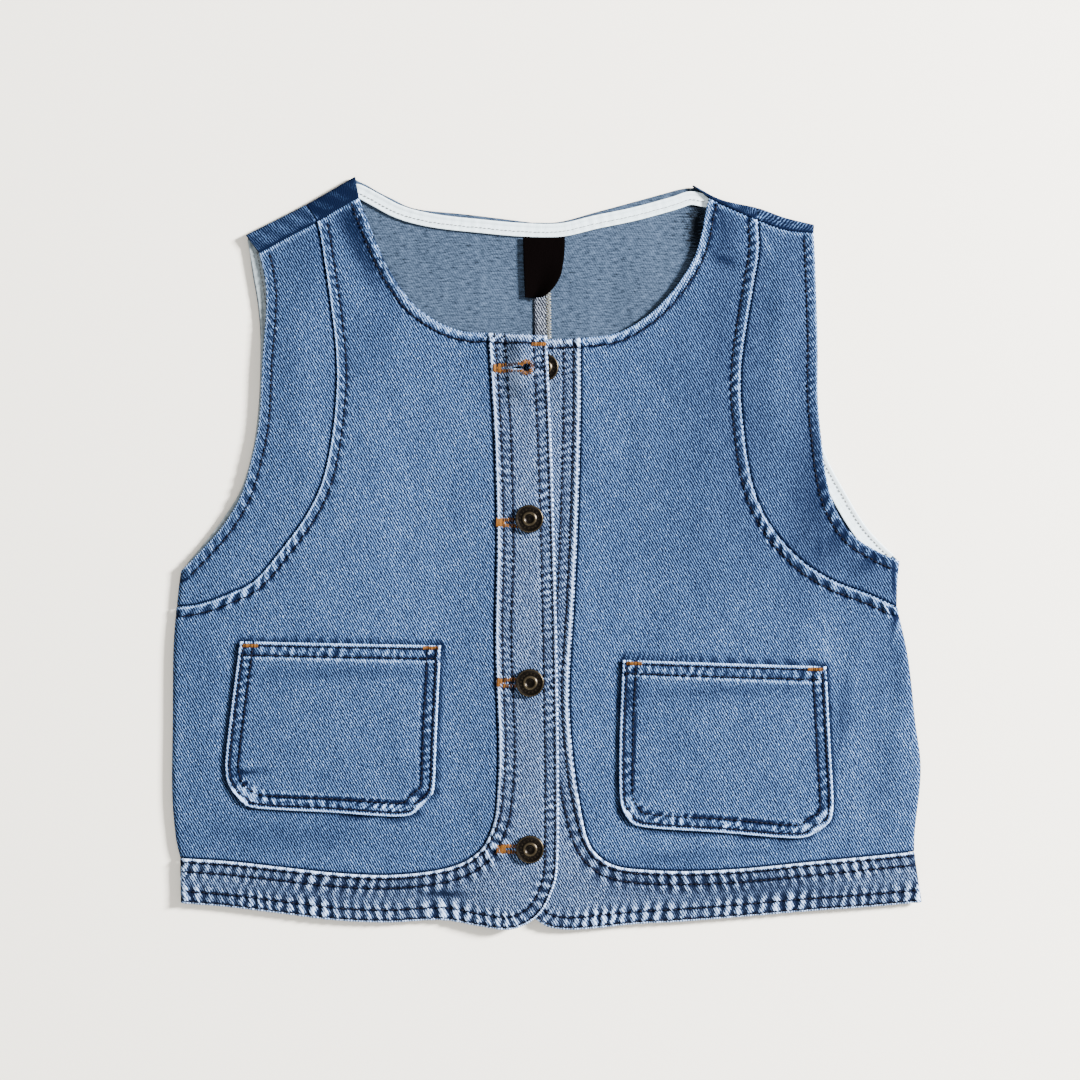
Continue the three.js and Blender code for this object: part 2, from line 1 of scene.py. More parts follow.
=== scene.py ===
"""A cropped, sleeveless denim vest laid flat with its front up, on a plain pale floor.

Each piece of cloth is a thin closed shell on the form of the solid that it stands for.
Tables are in millimetres, as seen from straight above: X to the right, Y to the neck.
Left and right are as seen from above, so left is the side that a wearer calls right.
"""
import math

import bpy
import numpy as np
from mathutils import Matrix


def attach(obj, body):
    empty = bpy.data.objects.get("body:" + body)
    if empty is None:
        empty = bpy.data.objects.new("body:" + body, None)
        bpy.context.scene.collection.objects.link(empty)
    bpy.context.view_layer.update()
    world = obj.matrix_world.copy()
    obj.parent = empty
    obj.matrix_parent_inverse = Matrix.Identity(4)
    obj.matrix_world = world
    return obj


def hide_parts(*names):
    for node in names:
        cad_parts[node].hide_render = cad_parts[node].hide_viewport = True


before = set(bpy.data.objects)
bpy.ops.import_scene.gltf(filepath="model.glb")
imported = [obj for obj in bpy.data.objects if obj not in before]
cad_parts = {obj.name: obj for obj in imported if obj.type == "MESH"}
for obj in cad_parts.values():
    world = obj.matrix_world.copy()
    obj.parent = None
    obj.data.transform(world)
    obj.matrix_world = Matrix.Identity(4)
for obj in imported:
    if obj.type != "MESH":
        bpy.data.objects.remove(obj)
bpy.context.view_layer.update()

bl_info = {
    "name": "Denim vest, laid flat",
    "version": (1, 0, 0),
    "blender": (4, 5, 0),
    "location": "View3D > Sidebar > Vest",
    "description": "Makes the cloth, the sewing, the buttons and the stage of a denim vest",
    "category": "Object",
}

MM = 0.001
# The tables' origin, in the frame whose origin is the middle of the vest's foot
ORIGIN = np.array([-0.49, -0.214])

# Levels, as in the solids
FRONT_LEVEL = 3.5
FRONT_BAND = 2.0
GAP = 0.3
DENIM = 1.2
BACK_LEVEL = 0.66
OVERLAP_RISE = FRONT_BAND + GAP
RISE_FROM_X, RISE_TO_X = -62, -24
FOLD_RADIUS = (FRONT_LEVEL - BACK_LEVEL) / 2
BUTTON_RADIUS = 8.75
HEAD_HEIGHT = 2.2
BULGE_HEIGHT = OVERLAP_RISE + HEAD_HEIGHT + 2 * GAP + 0.3
BULGE_FLAT, BULGE_REACH = BUTTON_RADIUS + 2, 26
BULGE_FROM_X, BULGE_TO_X = -28, -13

# Edges as seen from above, columns x, y. Side edges run up from the hem, the others from
# the armhole or the side towards the neck.
LEFT = {
    "panel_side": [[-229.5, -33.5], [-228.2, -22], [-226.5, -11]],
    "body_side": [[-227.5, -189], [-230.5, -174.5], [-232.5, -147], [-232, -103.5], [-231.5, -60],
                  [-229.5, -33.5]],
    "front_armhole": [[-226.5, -11], [-216.5, -1], [-200.5, 17], [-189, 36.5], [-183, 57], [-178, 82],
                      [-176, 118], [-173.5, 153.5], [-174.5, 170.5], [-178, 186]],
    "back_armhole": [[-226.5, -9.5], [-214, 5], [-200.5, 22.5], [-189.5, 41], [-182, 67], [-178.5, 95],
                     [-177.5, 130.5], [-179, 153.5], [-182.5, 174.5], [-186.5, 197.5]],
    "princess": [[-229.5, -33.5], [-213.5, -31], [-197, -25], [-180.5, -16.5], [-163, 4], [-148, 25],
                 [-137.5, 49], [-131, 87], [-130.5, 127.5], [-138.5, 187], [-142, 205.5]],
    "shoulder_fold": [[-186.5, 197.5], [-167.5, 207], [-149, 216.5], [-134, 225], [-118.5, 234]],
    "shoulder_seam": [[-178, 186], [-160, 196], [-142, 205.5], [-129, 213.5], [-116, 220.5]],
    "front_neck": [[-116, 220.5], [-111.5, 208.5], [-99, 179], [-83.5, 156], [-67, 143.5], [-51, 137.5],
                   [-36, 136.5]],
    "back_neck": [[-118.5, 234], [-107.5, 226.5], [-96, 220.5], [-80.5, 214], [-48.5, 210.5],
                  [-8.3, 205.5]],
}
RIGHT = {
    "panel_side": [[218, -33.5], [218.3, -20], [219.5, -5]],
    "body_side": [[229, -185], [229.5, -171.5], [233, -134.5], [229.5, -104.5], [225, -65.5],
                  [218, -33.5]],
    "front_armhole": [[219.5, -5], [206, 1], [189.5, 12], [178.5, 30], [173.5, 49], [171, 69],
                      [168.5, 98], [168.5, 130.5], [167, 178.5], [166, 198.5]],
    "back_armhole": [[219.5, -3.5], [207, 8], [197, 20], [186, 38.5], [176, 57], [171, 73.5], [169, 98],
                     [169, 130.5], [167.5, 178.5], [166.5, 204]],
    "princess": [[218, -33.5], [199.5, -25], [178.5, -17], [158, -4], [139.5, 17], [128.5, 41],
                 [122.5, 77], [121, 114.5], [128, 162.5], [132, 187], [131.5, 206.5]],
    "shoulder_fold": [[166.5, 204], [148, 208.5], [131, 214.5], [108, 219.5], [90.5, 228.5]],
    "shoulder_seam": [[166, 198.5], [148, 200.5], [131.5, 206.5], [116, 213], [101, 220]],
    "front_neck": [[101, 220], [99, 212], [96, 196.5], [90.5, 181], [78.5, 163], [63, 147.5],
                   [43.5, 136.5], [21.5, 133.5]],
    "back_neck": [[90.5, 228.5], [78.5, 225], [55, 218.5], [31, 212], [8.5, 206], [-8.3, 205.5]],
}

# Front bands, a row a section from the side seam round the corner and up to the neck.
# Columns: x and y of the seam to the body, x and y of the free edge.
LEFT_BAND = [
    [-227.5, -189, -227, -217], [-196.5, -191, -196.5, -219.5], [-164.5, -194.5, -164.5, -223.5],
    [-132, -198, -132, -227.5], [-99.5, -199.5, -99.5, -229], [-70.5, -197, -65.5, -227.5],
    [-52.5, -192, -42, -231], [-41, -184, -21.5, -233], [-35.5, -175.5, -5.5, -225],
    [-31.5, -163, 3.5, -210.5], [-30, -147, 7.5, -191.5], [-29.5, -117.5, 8, -137.5],
    [-31.5, -54, 7, -60], [-30.5, 7.5, 5.5, 4.5], [-32, 70, 3.5, 69], [-36, 136.5, 0.5, 134.5],
]
RIGHT_BAND = [
    [229, -185, 233.5, -216.5], [194.5, -188.5, 198.5, -219.5], [162.5, -191.5, 162.5, -222],
    [121.5, -195.5, 121.5, -225.5], [89.5, -197, 83, -228.5], [65, -196.5, 55, -230],
    [44, -194, 31.5, -232.5], [32, -187, 13, -233.5], [25.5, -176.5, -1.5, -230.5],
    [21, -156, -12, -219], [17.5, -133, -18, -194], [15, -106.5, -21.5, -147], [14.5, -78.5, -23, -85],
    [17.5, -29, -20, -29], [20, 27, -17.5, 27], [21.5, 89, -16, 89], [21.5, 133.5, -15.5, 132],
]

# Back hem band, columns x, y of its seam, y of the hem. The centre-back seam meets its middle row.
BACK_HEM = [
    [-227.5, -189, -214.5], [-145, -197, -223.5], [-75, -199.5, -225.5], [-4, -199.5, -226],
    [75, -197.5, -225.5], [150, -193, -219.5], [229, -185, -213.5],
]

# Patch pockets, columns x, y: the outline from one top corner round the foot to the other
LEFT_POCKET = [[-189.5, -54.5], [-197, -112.5], [-198.5, -135.5], [-194.5, -147], [-187, -154],
               [-179, -158], [-134, -160.5], [-88.5, -163], [-78.5, -156.5], [-71.5, -150.5],
               [-69, -143.5], [-67.5, -109.5], [-65, -57]]
RIGHT_POCKET = [[47.5, -66], [45.5, -117.5], [46, -153], [51, -162.5], [59.5, -169.5], [108, -173],
                [156, -176.5], [167.5, -171], [177.5, -161.5], [176, -117.5], [173.5, -70]]
# Rows of each outline that its left side, foot and right side run between, and the row that
# its foot's finish begins at
LEFT_POCKET_ROWS, RIGHT_POCKET_ROWS = (4, 8), (3, 7)
POCKET_FOOT = {"left": 4, "right": 3}

NECK_TAPE = [[-120, 225.5], [-115, 224.2], [-105, 218.9], [-93, 212.6], [-80.5, 208.6], [-64.5, 205.6],
             [-42, 203.2], [-16.7, 200.9], [8.5, 200.6], [31, 205.6], [55, 210.6], [78.5, 217],
             [89, 220.4], [97, 219.4], [102, 218.6]]
NECK_WIDTH, ARMHOLE_WIDTH = 8.4, 9.2
# The label's sections, columns y, left x, right x
LABEL = [[196.2, -14.3, 11.8], [188, -14.2, 11.6], [180, -14, 10.8], [171, -13.6, 8.7],
         [163, -13.2, 3.6], [158.5, -13, -2]]
BUTTONS = [[-0.9, 114.9], [-10.3, 21.3], [-9.9, -80.1], [-9.9, -183]]
HOLES = [[-12.2, 114.6], [-10.3, 19], *BUTTONS[2:]]
EYE_RADIUS, SLIT_LENGTH, SLIT_HALF, SLIT_OPEN = 2.4, 16.0, 0.8, 9.0

# Swells and troughs of the front, as in the solids.
# Columns: x, y, reach across, reach along, turn in degrees, height (troughs are negative)
SWELLS = [
    [-118, -60, 62, 95, 0, 1.5], [-110, 60, 42, 60, -8, 1.0], [-152, 100, 11, 62, 0, 0.9],
    [-212, -100, 10, 55, 2, 0.5], [-150, -176, 9, 62, 86, -0.7], [-86, 20, 12, 60, -6, -0.6],
    [-55, 60, 12, 55, 4, 0.5], [-196, -42, 9, 34, 70, -0.5], [122, -60, 60, 95, 0, 1.5],
    [95, 60, 36, 60, 8, 1.0], [147, 135, 9, 52, 0, 1.0], [137, 150, 5, 36, -3, -0.4],
    [196, -8, 9, 24, 60, 0.5], [205, -105, 11, 55, -8, -0.6], [219, -140, 8, 26, 4, 0.6],
    [110, 176, 5, 15, 66, -0.5], [60, -20, 10, 70, 5, -0.4], [110, -182, 8, 55, 94, -0.5],
]
# Smaller soft folds that only the cloth has, in the same columns
FOLDS = [
    [-70, 150, 5, 16, -30, 0.35], [-98, 160, 5, 14, -20, -0.3], [-130, 170, 6, 26, 5, 0.3],
    [-165, 60, 5, 24, -15, 0.35], [-158, 40, 4, 18, -25, -0.3], [-118, 30, 7, 34, 12, 0.3],
    [-70, -30, 6, 40, -4, -0.3], [-48, -100, 5, 36, 3, 0.35], [-52, -160, 6, 18, 30, -0.3],
    [-130, -178, 4, 40, 88, 0.3], [-190, -168, 5, 20, 60, 0.35], [-214, -60, 5, 22, 10, -0.3],
    [-206, -20, 4, 16, 62, 0.3], [-140, -20, 7, 30, 75, -0.25], [-96, 96, 6, 26, 20, -0.3],
    [70, 120, 6, 22, 30, 0.35], [88, 150, 5, 16, 35, -0.3], [118, 190, 4, 14, 64, 0.3],
    [150, 60, 5, 26, -6, 0.35], [158, 20, 5, 18, -35, -0.3], [100, 20, 7, 36, -14, 0.3],
    [45, -60, 6, 44, 4, -0.3], [38, -130, 5, 30, -6, 0.35], [70, -184, 5, 26, 80, 0.3],
    [195, -60, 6, 30, -14, 0.4], [214, -90, 4, 24, -6, -0.35], [200, -165, 5, 22, -35, 0.35],
    [188, -190, 5, 20, 70, -0.3], [150, -40, 7, 30, 80, -0.25], [60, 60, 6, 30, -8, 0.3],
    [-187, -135, 11, 2.2, 3, -0.7], [-186, -130, 10, 2.6, 8, 0.5], [-188, -141, 9, 3, -8, 0.5],
]
# Where the dye is more or less washed out, and where shade or light is painted into the colour, in the same columns
# with an amount for the height
FADES_AND_PAINTED_LIGHT = [
    [-120, -40, 60, 110, 0, 0.05], [120, -60, 55, 90, 0, 0.03], [-115, 190, 7, 26, 25, -0.55],
    [-118, 207, 9, 9, 0, -0.40], [-150, 190, 22, 26, 0, -0.18], [110, 203, 9, 20, 0, -0.34],
    [111, 182, 8, 2.5, -20, -0.45], [150, 185, 14, 30, 0, -0.10], [-165, -176, 60, 10, 0, -0.20],
    [146, 110, 8, 70, 0, 0.14], [-166, 120, 12, 60, 0, -0.10], [-108, 130, 14, 30, -35, -0.12],
    [84, 120, 16, 30, 35, -0.03], [-60, 60, 30, 70, 0, 0.04], [172, 60, 16, 70, -10, -0.32],
    [200, 5, 34, 26, 0, -0.26], [210, -60, 16, 50, 0, -0.14], [-63.5, -211, 13, 1.8, -2, -0.9],
    # The crease row at (-187, -135.5) is painted shade in the trough of the fold at the left pocket's lower corner.
    [-215, -60, 14, 60, 0, -0.08], [-190, 20, 16, 40, -35, -0.08], [-187, -135.5, 11, 1.2, 3, -0.9],
    [-184, -131, 10, 1.5, 6, 0.3], [184, -100, 4, 22, -4, -0.30], [174, -60, 3, 7, 0, 0.28],
    [100, -187, 60, 3, 4, -0.20], [110, -178, 50, 2, 3, 0.10], [125, 110, 50, 110, 0, -0.24],
    [-97, 178, 9, 34, 35, -0.22], [-140, -211, 80, 10, 2, -0.28], [130, -208, 90, 10, -2, -0.40],
    [100, 0, 80, 60, 0, -0.06], [-16.5, 112.6, 6, 1.3, -8, 0.9],
    # The row at (-19, 111) is a painted highlight on the slope beside the undone top button, which the band's bulge
    # over it leaves in shade.
    [137.6, 190, 1.3, 9, 23, 0.5], [-19, 111, 6, 15, 0, 0.85], [172, 40, 5, 16, -20, -0.25],
    [186, 16, 4.5, 15, -40, -0.50], [205, -2, 4, 13, -53, -0.45], [169.5, 4, 2, 9, 0, -0.25],
    [218.1, -16, 1.1, 13, 2, 1.00], [219.4, -42, 1.1, 9, -12, 0.90], [215.6, -17, 1.2, 12, 2, -0.90],
    [216.8, -40, 1.2, 9, -12, -0.90],
    [116, -85, 52, 4, 2, -0.20], [-125, -74, 55, 4, 1, -0.18], [54, -82, 6, 14, 0, -0.25],
]
# The same for the inside of the back. Its first row is the painted shadow that the lifted right front neck edge
# casts on it, and its second is painted shade beside the left front neck edge.
BACK_FADES_AND_PAINTED_SHADE = [[93, 203, 6, 20, 0, -1.1], [-97, 168, 6, 30, 35, -0.16], [70, 143, 30, 6, 30, -0.10],
              [-40, 165, 30, 12, 20, 0.05]]



def rise(x, a, b):
    """Smooth step: 0 before a, 1 after b, and the cubic 3t2 - 2t3 between them."""
    t = np.clip((x - a) / (b - a), 0, 1)
    return t * t * (3 - 2 * t)


def hump(x, middle, reach):
    """Bell round `middle`: e to the minus square of the distance over the reach."""
    return np.exp(-(((x - middle) / reach) ** 2))


def catmull(rows, t):
    """Points of the smooth curve through the rows: between two rows it is the cubic that
    leaves each row along half the line between the rows beside it."""
    p = np.asarray(rows, float)
    p = np.vstack([2 * p[0] - p[1], p, 2 * p[-1] - p[-2]])
    s = np.clip(np.asarray(t, float), 0, 1) * (len(p) - 3)
    k = np.minimum(s.astype(int), len(p) - 4)
    w = (s - k)[..., None]
    a, b, c, d = p[k], p[k + 1], p[k + 2], p[k + 3]
    m, n = (c - a) / 2, (d - b) / 2
    return ((2 * b - 2 * c + m + n) * w + (3 * c - 3 * b - 2 * m - n)) * w * w + m * w + b


def run_of(points):
    """Length from the first point to each point of a line."""
    return np.concatenate([[0.0], np.cumsum(np.linalg.norm(np.diff(points, axis=0), axis=1))])


# A track is a line of points with the share from 0 to 1 at which each of them lies.
def by_length(rows, start=0.0, stop=1.0):
    """Track of the smooth curve through the rows, its shares those of its length."""
    points = catmull(rows, np.linspace(start, stop, 900))
    run = run_of(points)
    return run / run[-1], points


def by_rows(rows, start=0.0, stop=1.0):
    """Track of the same curve, its shares even in its rows."""
    return np.linspace(0, 1, 900), catmull(rows, np.linspace(start, stop, 900))


def chain(*parts):
    """One track of several, each (track, weight) taking its weight's part of the shares."""
    total, shares, points, done = sum(w for _, w in parts), [], [], 0.0
    for (share, line), weight in parts:
        shares.append((done + share * weight) / total)
        points.append(line)
        done += weight
    return np.concatenate(shares), np.vstack(points)


def backwards(track):
    return 1 - track[0][::-1], track[1][::-1]


def at(track, share):
    """Points of a track at shares of it, each coordinate read between its neighbours."""
    return np.stack([np.interp(share, track[0], track[1][:, k]) for k in range(track[1].shape[1])], -1)


def coons(foot, head, start, end, u, v):
    """Patch between four tracks: the sides blended across by u, plus foot and head blended
    up by v, less the four corners, which both of those have counted."""
    a, b = u[..., None], v[..., None]
    corner = [at(t, np.array(s)) for t, s in ((start, 0.0), (end, 0.0), (start, 1.0), (end, 1.0))]
    return ((1 - a) * at(start, v) + a * at(end, v) + (1 - b) * at(foot, u) + b * at(head, u)
            - (1 - a) * (1 - b) * corner[0] - a * (1 - b) * corner[1]
            - (1 - a) * b * corner[2] - a * b * corner[3])


def stations(lengths, first, last, step, fixed=()):
    """Shares of each length: the distances `first` from its start and `last` from its end,
    with even steps of about `step` between them and the fixed shares."""
    w = np.atleast_1d(np.asarray(lengths, float))
    squeeze = np.minimum(1, 0.42 * w / max(first[-1], last[-1]))
    low = np.array(first)[:, None] * squeeze / w
    high = 1 - np.array(last)[::-1, None] * squeeze / w
    knots = [low[-1], *[np.full(len(w), f) for f in fixed], high[0]]
    rows = [low]
    for p, q in zip(knots, knots[1:]):
        n = max(int(round(np.mean((q - p) * w) / step)), 1)
        rows.append(p + (q - p) * (np.arange(1, n + 1) / n)[:, None])
    return np.vstack([np.vstack(rows)[:-1], high])


def away(xy, line):
    """Distance of each point from a line, and how far along the line its nearest place is:
    the nearest corner first, then the foot of the perpendicular on the steps beside it."""
    points = xy.reshape(-1, 2)
    steps = np.diff(line, axis=0)
    lengths = np.maximum(np.linalg.norm(steps, axis=1), 1e-9)
    run = run_of(line)
    near = np.concatenate([((points[k:k + 4000, None] - line[None]) ** 2).sum(-1).argmin(1)
                           for k in range(0, len(points), 4000)])
    best, place = np.full(len(points), np.inf), np.zeros(len(points))
    for shift in (-1, 0):
        s = np.clip(near + shift, 0, len(steps) - 1)
        t = np.clip(((points - line[s]) * steps[s]).sum(-1) / lengths[s] ** 2, 0, 1)
        d = np.linalg.norm(points - line[s] - steps[s] * t[:, None], axis=1)
        place = np.where(d < best, run[s] + t * lengths[s], place)
        best = np.minimum(best, d)
    return best.reshape(xy.shape[:-1]), place.reshape(xy.shape[:-1])


def evenly(line, step):
    """The line again, with its points about `step` apart."""
    run = run_of(line)
    n = max(int(round(run[-1] / step)), 2)
    return np.stack([np.interp(np.linspace(0, run[-1], n + 1), run, line[:, k]) for k in range(2)], -1)


def normals(line):
    """Directions across a line, each a quarter turn to the left of the way it goes."""
    way = np.gradient(line, axis=0)
    return np.stack([-way[:, 1], way[:, 0]], -1) / np.linalg.norm(way, axis=1)[:, None]


def beside(line, distance, towards):
    """The line moved sideways by a distance, to the side where `towards` lies: each point
    goes along the line's normal, and those that come nearer than the distance are dropped.
    The distance is one for the whole line or a function of how far along it one is."""
    line = evenly(line, 0.8)
    normal = normals(line)
    distance = distance(run_of(line)) if callable(distance) else np.full(len(line), distance)
    k = np.linalg.norm(line - towards, axis=1).argmin()
    sign = np.sign(((np.asarray(towards) - line[k]) * normal[k]).sum())
    moved = line + normal * sign * distance[:, None]
    return evenly(moved[away(moved, line)[0] > distance - 0.05], 0.8)


def ripple(run, period, seed):
    """Uneven ripples along a seam, from -1 to 1: a sine whose phase and height drift with
    slower sines."""
    a = np.random.default_rng(seed).uniform(0, 2 * np.pi, 5)
    drift = 1.4 * np.sin(run / (1.7 * period) + a[0]) + 2.3 * np.sin(run / (4.3 * period) + a[1])
    height = 0.62 + 0.38 * np.sin(run / (1.3 * period) + a[2]) * np.sin(run / (3.1 * period) + a[3])
    return height * np.sin(2 * np.pi * run / period + drift + a[4])


# How an edge is finished. Columns: height and width of its ridge; how white it is worn, or below
# nought how dark a painted shadow line is, where and over what reach; how far in its stitch rows lie;
# height of its puckers, how far apart they are and how they slant; how dark the rows are, how strong
# the roping is, how dark the cloth between the rows is, and how pale it is just past the last of them.
FINISH = {
    "lap": (0.50, 4.4, 1.3, 1.0, 0.8, (6.0,), 0.30, 5.6, 0.8, 1.15, 0.70, 0.12, 0.0),
    # The next row darkens the piece that lies under a lapped seam in a line along it, with a slight dip: painted
    # shadow of the seam's edge, partly unfaded dye.
    "tuck": (-0.30, 1.0, -1.3, 0.0, 0.75, (), 0.10, 6.4, 0.0, 0.0, 0.0, 0.0, 0.0),
    "neck": (0.30, 6.0, 0.9, 1.4, 1.7, (5.6,), 0.32, 5.6, 0.5, 1.1, 0.95, 0.06, 0.0),
    "armhole": (0.30, 6.0, 0.9, 0.4, 0.8, (6.2,), 0.26, 5.0, 0.6, 0.8, 0.50, 0.08, 0.0),
    "shoulder": (0.15, 2.0, 0.6, 1.2, 1.1, (), 0.05, 8.0, 0.0, 0.0, 0.0, 0.0, 0.0),
    "band_seam": (0.55, 3.2, 1.7, 1.3, 1.1, (4.4, 10.4), 0.26, 4.6, 0.2, 1.15, 0.60, 0.12, 0.15),
    "band_edge": (0.30, 3.0, 1.4, 0.7, 0.9, (2.2, 8.4), 0.26, 4.8, 0.2, 1.15, 0.75, 0.10, 0.3),
    "pocket_side": (0.30, 2.6, 1.8, 0.5, 0.9, (2.7, 8.4), 0.24, 5.6, 0.4, 1.6, 0.80, 0.14, 0.20),
    "pocket_foot": (0.00, 9.0, 0.1, 0.5, 0.9, (), 0.18, 6.6, 0.2, 0.0, 1.25, -0.10, 0.15),
    "pocket_top": (0.30, 9.0, 1.8, 0.6, 0.9, (2.4, 8.4), 0.28, 6.0, 0.3, 1.0, 1.05, 0.06, 0.85),
    # The next row paints the shadow of a pocket's edges on the body round it, with a slight dip.
    "shade": (-0.12, 1.2, -0.9, 0.0, 1.4, (), 0.0, 8.0, 0.0, 0.0, 0.0, 0.0, 0.0),
}
# Along the hem, and round the armholes' lower curves, rows lie nearer their edges and the
# roping is stronger and wider. Columns: how much nearer, how much stronger, and the lengths
# along the edge between which that fades out.
ROPED = {"band_seam": (2.1, 2.0, 190, 260), "band_edge": (0.6, 2.3, 225, 290), "lap": (0.0, 1.6, 90, 170),
         "armhole": (0.0, 1.4, 60, 130)}
EVEN = (0.0, 1.0, 9000, 9001)


def row_places(finish):
    """How far in each stitch row of a finish lies, as a function of how far along one is."""
    shift, _, low, high = ROPED.get(finish, EVEN)
    return [lambda run, row=row: row - shift * (1 - rise(run, low, high)) for row in FINISH[finish][5]]


def finished(d, run, finish, seed):
    """Height and colour shift that an edge gives the cloth d millimetres in: a ridge that falls off
    past its width, dents at the stitch rows, puckers across them, and a rubbed white line at the
    fold, or a painted shadow line where the white column is below nought. The colour shift is 1
    where it is white and -1 where the dye is all there or the painted shadow is darkest."""
    (ridge, width, white, whitest, reach, rows, pucker, period, slant, dark, roping, tone,
     past) = FINISH[finish]
    shift, stronger, low, high = ROPED.get(finish, EVEN)
    share = 1 - rise(run, low, high)
    strength = 1 + (stronger - 1) * share
    moved = d + shift * share
    last = max(rows, default=width)
    place = run + slant * d + 0.6 * np.sin(1.1 * d + run / 3.7)
    waves = ripple(place, period * (1 + 0.45 * (stronger > 1)), seed) * strength
    if stronger > 1:
        waves = waves * share + ripple(place, period, seed + 3) * (1 - share)
    lifted = waves + 0.6 * np.maximum(waves, 0)
    fine = ripple(run - 0.3 * d, period * 0.37, seed + 7)
    zone = 1 - rise(moved, last + 0.4, last + 3.2 + 5.0 * share * (shift > 0))
    height = ridge * (1 - rise(d, 0.6 * width, 1.5 * width)) + pucker * waves * zone
    wear_and_shade = white * hump(d, np.maximum(whitest - shift * share, 0.4), reach) * (0.9 + 0.15 * fine)
    wear_and_shade = wear_and_shade + zone * rise(moved, 1.0, 2.4) * (roping * (0.75 * lifted + 0.3 * fine) - tone)
    wear_and_shade = wear_and_shade + past * hump(moved, last + 1.8, 0.9)
    for row in rows:
        height = height - 0.28 * hump(moved, row, 0.8)
        wear_and_shade = wear_and_shade - dark * (0.65 + (0.7 if shift else 0.4) * share) * hump(moved, row, 0.75) * (1.1 - 0.35 * waves)
    return height, wear_and_shade


def bells(xy, rows):
    """Sum of bells, one a row: e to the minus squares of the distances across and along,
    each over its reach, with the axes turned."""
    total = np.zeros(xy.shape[:-1])
    for x, y, across, reach, turn, height in rows:
        a = math.radians(turn)
        p = ((xy[..., 0] - x) * math.cos(a) + (xy[..., 1] - y) * math.sin(a)) / across
        q = ((xy[..., 1] - y) * math.cos(a) - (xy[..., 0] - x) * math.sin(a)) / reach
        total += height * np.exp(-p * p - q * q)
    return total


def right_level(xy):
    """Height of the fronts' middle: a level, the swells and the small folds."""
    return FRONT_LEVEL + bells(xy, SWELLS) + sizes().fold_strength * bells(xy, FOLDS)


def left_level(xy):
    """The same, lifted on to the right band and bulging over the undone button."""
    past = np.abs(xy[..., 1] - BUTTONS[0][1])
    bulge = BULGE_HEIGHT * rise(xy[..., 0], BULGE_FROM_X, BULGE_TO_X) * (1 - rise(past, BULGE_FLAT, BULGE_REACH))
    return right_level(xy) + OVERLAP_RISE * rise(xy[..., 0], RISE_FROM_X, RISE_TO_X) + bulge


def line_of(rows, start=0.0, stop=1.0):
    return evenly(by_length(rows, start, stop)[1], 1.0)


def column(table, *columns):
    return [[row[k] for k in columns] for row in table]


class Cloth:
    """A cut piece: the level it lies at, its edges as (line, finish, seed), the side where
    it rolls down to the table, and half its thickness."""

    def __init__(self, level, edges, half=0.55, side=None, fade=0.0):
        self.level, self.edges, self.half, self.side, self.fade = level, edges, half, side, fade

    def surface(self, xy):
        """Height of its middle and its colour shift, which holds faded and rubbed dye together with
        painted shade and light: the level and each edge's part added up, times the quarter round of the
        roll at its side."""
        z, wear_and_shade = self.level(xy), self.fade + bells(xy, FADES_AND_PAINTED_LIGHT)
        for line, finish, seed in self.edges:
            height, more = finished(*away(xy, line), finish, seed)
            z, wear_and_shade = z + height, wear_and_shade + more
        if self.side is not None:
            d = away(xy, self.side)[0]
            z = z * np.sqrt(1 - (1 - np.clip(d / FRONT_LEVEL, 0, 1)) ** 2)
        return z, wear_and_shade


def shell(mid, half, flat, values, keep=None, rim=3):
    """Closed cloth round a grid of middle points: each point out along the surface's normal
    by half the thickness on both sides, and a half round of `rim` steps round every open
    edge. Returns points, faces, the flat place and the values of each point, and 1 for the
    side under the middle."""
    m, n = mid.shape[:2]
    p = mid.reshape(-1, 3)
    index = np.arange(m * n).reshape(m, n)
    cells = np.stack([index[:-1, :-1], index[1:, :-1], index[1:, 1:], index[:-1, 1:]], -1)
    cells = cells.reshape(-1, 4) if keep is None else cells[keep]
    face = np.cross(p[cells[:, 2]] - p[cells[:, 0]], p[cells[:, 3]] - p[cells[:, 1]])
    if face[:, 2].sum() < 0:
        cells, face = cells[:, ::-1], -face
    normal = np.stack([np.bincount(cells.ravel(), np.repeat(face[:, k], 4), m * n) for k in range(3)], -1)
    normal /= np.maximum(np.linalg.norm(normal, axis=1), 1e-12)[:, None]
    edges = np.concatenate([cells[:, [k, (k + 1) % 4]] for k in range(4)])
    code, back = edges[:, 0] * (m * n) + edges[:, 1], edges[:, 1] * (m * n) + edges[:, 0]
    edges = edges[~np.isin(code, back)]
    after, before = np.arange(m * n), np.arange(m * n)
    after[edges[:, 0]], before[edges[:, 1]] = edges[:, 1], edges[:, 0]
    border = edges[:, 0]
    way = p[after[border]] - p[before[border]]
    outward = np.cross(way, normal[border])
    outward /= np.maximum(np.linalg.norm(outward, axis=1), 1e-12)[:, None]
    p = p.copy()
    p[border] -= outward * half
    loops = [p + normal * half, p - normal * half]
    place = np.full(m * n, -1)
    place[border] = np.arange(len(border))
    rounds = []
    for k in range(1, rim + 1):
        a = math.pi * k / (rim + 1)
        rounds.append(p[border] + normal[border] * half * math.cos(a) + outward * half * math.sin(a))
    points = np.vstack(loops + rounds)
    levels = [edges] + [2 * m * n + k * len(border) + place[edges] for k in range(rim)] + [edges + m * n]
    sides = [np.stack([a[:, 1], a[:, 0], b[:, 0], b[:, 1]], -1) for a, b in zip(levels, levels[1:])]
    faces = np.vstack([cells, cells[:, ::-1] + m * n] + sides)
    used = np.unique(faces)
    renumber = np.zeros(len(points), int)
    renumber[used] = np.arange(len(used))
    source = np.concatenate([np.arange(m * n), np.arange(m * n)] + [border] * rim)[used]
    under = np.concatenate([np.zeros(m * n), np.ones(m * n)]
                           + [np.full(len(border), k / (rim + 1)) for k in range(1, rim + 1)])[used]
    points = points[used]
    points[:, 2] = np.maximum(points[:, 2], 0)
    return points, renumber[faces], flat.reshape(-1, 2)[source], [v.ravel()[source] for v in values], under


def sizes():
    return bpy.context.scene.vest_sizes


def colours():
    return bpy.context.scene.vest_colours


